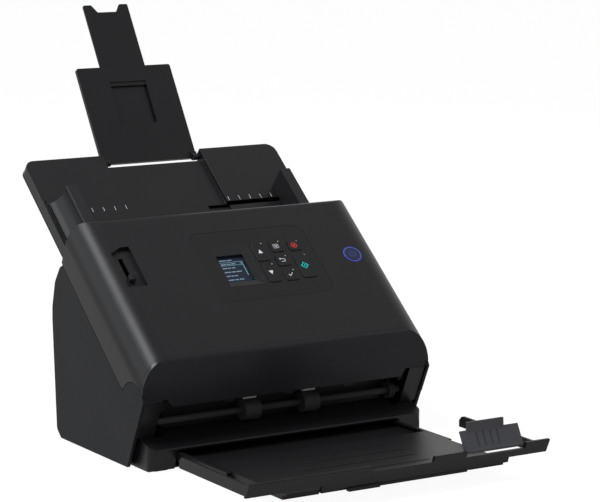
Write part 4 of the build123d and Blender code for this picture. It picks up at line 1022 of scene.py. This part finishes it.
class Repeats:
    """Geometry Nodes trees for what repeats round a shaft or along a line."""

    def __init__(self) -> None:
        """Build both trees."""
        self.ring = self._tree("ribs_round_a_roller", ring=True)
        self.row = self._tree("ribs_in_a_row", ring=False)

    def _tree(self, name: str, ring: bool) -> Tree:
        """Build one tree.

        Args:
            name: the tree's name.
            ring: whether the ribs stand round a circle, or in a line.

        Returns:
            The tree.
        """
        tree = bpy.data.node_groups.new(name, "GeometryNodeTree")
        vector = "NodeSocketVector"
        sizes = [("Count", "NodeSocketInt", 12), ("Size", vector, (0.01, 0.001, 0.001)),
                 ("Centre", vector, (0, 0, 0)), ("Turn", vector, (0, 0, 0)),
                 ("Reach", FLOAT_SOCKET, 0.01), ("Step", vector, (0.01, 0, 0)),
                 ("Material", "NodeSocketMaterial", None)]
        geometry = "NodeSocketGeometry"
        tree.interface.new_socket("Geometry", in_out="INPUT", socket_type=geometry)
        for label, kind, value in sizes:
            socket = tree.interface.new_socket(label, in_out="INPUT", socket_type=kind)
            if value is not None:
                socket.default_value = value
        tree.interface.new_socket("Geometry", in_out="OUTPUT", socket_type=geometry)
        start, end = add_node(tree, "NodeGroupInput"), add_node(tree, "NodeGroupOutput")
        rib = add_node(tree, "GeometryNodeMeshCube")
        stand = add_node(tree, "GeometryNodeInstanceOnPoints")
        real = add_node(tree, "GeometryNodeRealizeInstances")
        place = add_node(tree, "GeometryNodeTransform")
        paint = add_node(tree, "GeometryNodeSetMaterial")
        path = self._circle(tree, start, stand) if ring else self._line(tree, start)
        wire(
            (start, "Size", rib, "Size"),
            (path, "Mesh", stand, "Points"),
            (rib, "Mesh", stand, "Instance"),
            (stand, "Instances", place, "Geometry"),
            (start, "Centre", place, "Translation"),
            (start, "Turn", place, "Rotation"),
            (place, "Geometry", real, "Geometry"),
            (real, "Geometry", paint, "Geometry"),
            (start, "Material", paint, "Material"),
            (paint, "Geometry", end, "Geometry"),
        )
        return tree

    @staticmethod
    def _circle(tree: Tree, start: Node, stand: Node) -> Node:
        """Add a circle of points, with each rib turned to face outwards.

        Args:
            tree: the tree.
            start: its input node.
            stand: the node that puts a rib on each point.

        Returns:
            The circle's node.
        """
        path = add_node(tree, "GeometryNodeMeshCircle")
        index = add_node(tree, "GeometryNodeInputIndex")
        share = add_node(tree, "ShaderNodeMath", operation="DIVIDE")
        angle = add_node(tree, "ShaderNodeMath", {1: 2 * math.pi}, operation="MULTIPLY")
        spin = add_node(tree, "ShaderNodeCombineXYZ")
        wire(
            (start, "Count", path, "Vertices"),
            (start, "Reach", path, "Radius"),
            (index, 0, share, 0),
            (start, "Count", share, 1),
            (share, 0, angle, 0),
            (angle, 0, spin, "Z"),
            (spin, 0, stand, "Rotation"),
        )
        return path

    @staticmethod
    def _line(tree: Tree, start: Node) -> Node:
        """Add a line of points.

        Args:
            tree: the tree.
            start: its input node.

        Returns:
            The line's node.
        """
        path = add_node(tree, "GeometryNodeMeshLine")
        wire(
            (start, "Count", path, "Count"),
            (start, "Step", path, "Offset"),
        )
        return path

    def make(self, name: str, body: str, tree: Tree,
             values: dict[str, object]) -> None:
        """Run a tree and keep its result as a plain mesh.

        Args:
            name: the piece's name.
            body: the body it rides on.
            tree: which tree.
            values: the tree's inputs by name.
        """
        holder = bpy.data.objects.new(name + "_holder", bpy.data.meshes.new(name + "_empty"))
        bpy.context.scene.collection.objects.link(holder)
        modifier = holder.modifiers.new("repeat", "NODES")
        modifier.node_group = tree
        names = {item.name: item.identifier for item in tree.interface.items_tree
                 if item.item_type == "SOCKET" and item.in_out == "INPUT"}
        for label, value in values.items():
            modifier[names[label]] = value
        mesh = modified_mesh(holder, name)
        put(mesh, name, body, values["Material"])


@dataclass(frozen=True)
class Tyre:
    """One ribbed tyre: its piece, its roller, its place along it and its sizes."""

    name: str
    roller: str
    x: float
    radius: float
    ribs: int
    length: float


@dataclass
class RollerTreads:
    """Ribs moulded into the rubber tyres of the eject and feed rollers."""

    rib: tuple[float, float] = (0.3, 0.7)
    eject_axis: tuple[float, float] = (-62.0, 39.6)
    eject_tyres: tuple[Tyre, ...] = (
        Tyre("eject_tread_left", "eject_roller", -30.0, 8.93, 30, 15.2),
        Tyre("eject_tread_right", "eject_roller", 30.0, 8.93, 30, 15.2),
    )
    feed_tyre: Tyre = Tyre("feed_tread", "feed_roller", 0.0, 11.93, 40, 23.0)

    def build(self, materials: Materials, repeats: Repeats) -> None:
        """Make each ring of ribs.

        Args:
            materials: the finishes.
            repeats: the trees.
        """
        for tyre in self.eject_tyres:
            self._ring(materials, repeats, tyre, self.eject_axis)
        low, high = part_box("feed_roller")
        axis = ((low[1] + high[1]) / 2 / MM, (low[2] + high[2]) / 2 / MM)
        self._ring(materials, repeats, self.feed_tyre, axis)

    def _ring(self, materials: Materials, repeats: Repeats, tyre: Tyre,
              axis: tuple[float, float]) -> None:
        """Make one ring of ribs round a tyre.

        Args:
            materials: the finishes.
            repeats: the trees.
            tyre: the tyre.
            axis: y and z of the roller's middle line.
        """
        repeats.make(tyre.name, tyre.roller, repeats.ring, {
            "Count": tyre.ribs, "Reach": tyre.radius * MM,
            "Size": metres(*self.rib, tyre.length), "Centre": metres(tyre.x, *axis),
            "Turn": (0.0, math.pi / 2, 0.0), "Material": materials["roller_rubber"]})


@dataclass
class SmallRows:
    """Rows of small raised bars: paper size ticks on the tray and grip ridges on the lever."""

    tick_count: int = 5
    tick_step: float = 11.5
    tick_size: Place = (0.4, 5.0, 0.1)
    tick_start: Place = (54.0, 216.0, 47.47)
    ridge_count: int = 4
    ridge_step: float = 1.1
    ridge_size: Place = (5.6, 0.45, 0.5)
    ridge_start: Place = (-114.5, 90.9, -3.05)
    ridge_lean: float = math.radians(20)

    def build(self, materials: Materials, repeats: Repeats) -> None:
        """Make every row.

        Args:
            materials: the finishes.
            repeats: the trees.
        """
        across, up, depth = self.tick_start
        for side, label in ((-1, "left"), (1, "right")):
            repeats.make(f"paper_size_ticks_{label}", "base", repeats.row, {
                "Count": self.tick_count, "Step": metres(side * self.tick_step, 0.0, 0.0),
                "Size": metres(*self.tick_size),
                "Centre": tuple(SLOPE.point(side * across, up, depth)), "Turn": SLOPE.turn(),
                "Material": materials["mark_pale"]})
        repeats.make("lever_ridges", "feed_mode_lever", repeats.row, {
            "Count": self.ridge_count, "Step": metres(0.0, self.ridge_step, 0.0),
            "Size": metres(*self.ridge_size), "Centre": tuple(SLOPE.point(*self.ridge_start)),
            "Turn": SLOPE.turn(self.ridge_lean), "Material": materials["lever_grey"]})


@dataclass
class PhotoCamera:
    """The camera at the photograph's place."""

    azimuth: float = 31.80
    elevation: float = 9.353
    distance: float = 2.1954
    focal_px: float = 2532.5
    shift_px: tuple[float, float] = (289.88, 384.07)
    anchor: Place = (0.0, -0.081, 0.0617)
    frame_px: tuple[float, float] = (600.0, 502.0)
    sensor_mm: float = 36.0
    far_end: float = 200.0

    def build(self) -> None:
        """Place the camera and make it the scene's."""
        a, e = math.radians(self.azimuth), math.radians(self.elevation)
        back = Vector((-math.sin(a) * math.cos(e), -math.cos(a) * math.cos(e), math.sin(e)))
        right = Vector((math.cos(a), -math.sin(a), 0.0))
        up = back.cross(right)
        across = (self.shift_px[0] - self.frame_px[0] / 2) / self.focal_px * self.distance
        rise = -(self.shift_px[1] - self.frame_px[1] / 2) / self.focal_px * self.distance
        place = Vector(self.anchor) + self.distance * back - across * right - rise * up
        data = bpy.data.cameras.new("photo_camera")
        data.lens = self.focal_px / self.frame_px[0] * self.sensor_mm
        data.sensor_width = self.sensor_mm
        data.clip_end = self.far_end
        camera = bpy.data.objects.new("photo_camera", data)
        turn = Matrix((right, up, back)).transposed().to_4x4()
        camera.matrix_world = Matrix.Translation(place) @ turn
        bpy.context.scene.collection.objects.link(camera)
        bpy.context.scene.camera = camera


def seen_rays(tree: Tree) -> Node:
    """Add a value of 1 for rays from the camera, off gloss and through glass.

    Args:
        tree: the floor's or the surround's tree.

    Returns:
        The node whose first output is the value.
    """
    rays = add_node(tree, "ShaderNodeLightPath")
    total, output = rays, "Is Camera Ray"
    for other in ("Is Glossy Ray", "Is Transmission Ray"):
        both = add_node(tree, "ShaderNodeMath", operation="ADD", use_clamp=True)
        wire((total, output, both, 0), (rays, other, both, 1))
        total, output = both, 0
    return total


@dataclass(frozen=True)
class Lamp:
    """One soft square lamp: where it hangs, what it lights, its side in metres and its watts."""

    name: str
    place: Place
    aim: Place
    side: float
    power: float
    colour: Colour = (0.93, 0.96, 1.0)

    def hang(self) -> None:
        """Add the lamp to the scene."""
        data = bpy.data.lights.new(self.name, "AREA")
        data.shape = "SQUARE"
        data.size = self.side
        data.energy = self.power
        data.color = self.colour
        lamp = bpy.data.objects.new(self.name, data)
        lamp.location = self.place
        way = Vector(self.aim) - Vector(self.place)
        lamp.rotation_euler = way.to_track_quat("-Z", "Y").to_euler()
        bpy.context.scene.collection.objects.link(lamp)


@dataclass
class Studio:
    """White floor, soft lamps and a white surround."""

    floor_half: float = 40.0
    floor_colour: Colour = (0.86, 0.86, 0.86)
    floor_roughness: float = 0.9
    floor_white: float = 1.05
    floor_share: float = 0.9
    surround_light: float = 0.40
    surround_white: float = 1.0
    lamps: tuple[Lamp, ...] = (
        Lamp("soft_left", (-1.02, -0.10, 1.98), (0.0, 0.0, 0.15), 0.75, 44.0),
        Lamp("soft_side", (-1.82, 0.77, 1.12), (0.0, 0.0, 0.15), 1.4, 16.0),
        Lamp("soft_back", (-0.3, 1.7, 1.9), (0.0, 0.0, 0.1), 1.4, 6.0),
        Lamp("soft_right", (1.8, -1.2, 1.1), (0.0, 0.0, 0.15), 1.2, 7.0),
    )

    def build(self) -> None:
        """Make the floor, the lamps and the world."""
        bpy.context.scene.view_settings.view_transform = "Standard"
        self._floor()
        for lamp in self.lamps:
            lamp.hang()
        self._world()

    def _floor(self) -> None:
        """Make the floor, which shows white but keeps the object's shadow."""
        h = self.floor_half
        mesh = bpy.data.meshes.new("studio_floor")
        mesh.from_pydata([(-h, -h, 0), (h, -h, 0), (h, h, 0), (-h, h, 0)], [], [(0, 1, 2, 3)])
        floor = bpy.data.objects.new("studio_floor", mesh)
        bpy.context.scene.collection.objects.link(floor)
        material = bpy.data.materials.new("studio_floor")
        material.use_nodes = True
        tree = material.node_tree
        shader = tree.nodes["Principled BSDF"]
        fill(shader, {"Base Color": (*self.floor_colour, 1), "Roughness": self.floor_roughness})
        white = add_node(tree, "ShaderNodeEmission",
                         {"Color": (*WHITE, 1), "Strength": self.floor_white})
        mix = add_node(tree, "ShaderNodeMixShader")
        share = add_node(tree, "ShaderNodeMath", {1: self.floor_share}, operation="MULTIPLY")
        wire(
            (seen_rays(tree), 0, share, 0),
            (share, 0, mix, "Fac"),
            (shader, 0, mix, 1),
            (white, 0, mix, 2),
            (mix, 0, tree.nodes["Material Output"], "Surface"),
        )
        mesh.materials.append(material)

    def _world(self) -> None:
        """Make a plain pale surround that shows white."""
        world = bpy.data.worlds.new("studio_surround")
        bpy.context.scene.world = world
        world.use_nodes = True
        tree = world.node_tree
        plain = tree.nodes["Background"]
        fill(plain, {"Color": (*WHITE, 1), "Strength": self.surround_light})
        white = add_node(tree, "ShaderNodeBackground",
                         {"Color": (*WHITE, 1), "Strength": self.surround_white})
        mix = add_node(tree, "ShaderNodeMixShader")
        wire(
            (seen_rays(tree), 0, mix, "Fac"),
            (plain, 0, mix, 1),
            (white, 0, mix, 2),
            (mix, 0, tree.nodes["World Output"], "Surface"),
        )


def dress_nodes(materials: Materials) -> dict[str, str]:
    """Give every CAD node its finish.

    Args:
        materials: the finishes.

    Returns:
        Each node's slot.
    """
    slots = {part["node"]: part["material_slot"] for part in frame["record"]["subparts"]}
    for node, slot in slots.items():
        piece = frame["nodes"][node]
        for holder in piece.material_slots:
            holder.material = materials[slot]
    return slots


def main() -> None:
    """Build the scene."""
    logging.basicConfig(level=logging.INFO)
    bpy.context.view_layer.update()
    PhotoCamera().build()
    Studio().build()
    materials = Materials()
    slots = dress_nodes(materials)
    RoundedShells().build(materials, slots)
    KeyMarks().build(materials)
    PowerMark().build(materials)
    ScreenPicture().build(materials)
    repeats = Repeats()
    RollerTreads().build(materials, repeats)
    SmallRows().build(materials, repeats)
    bpy.context.view_layer.update()


if __name__ == "__main__":
    main()
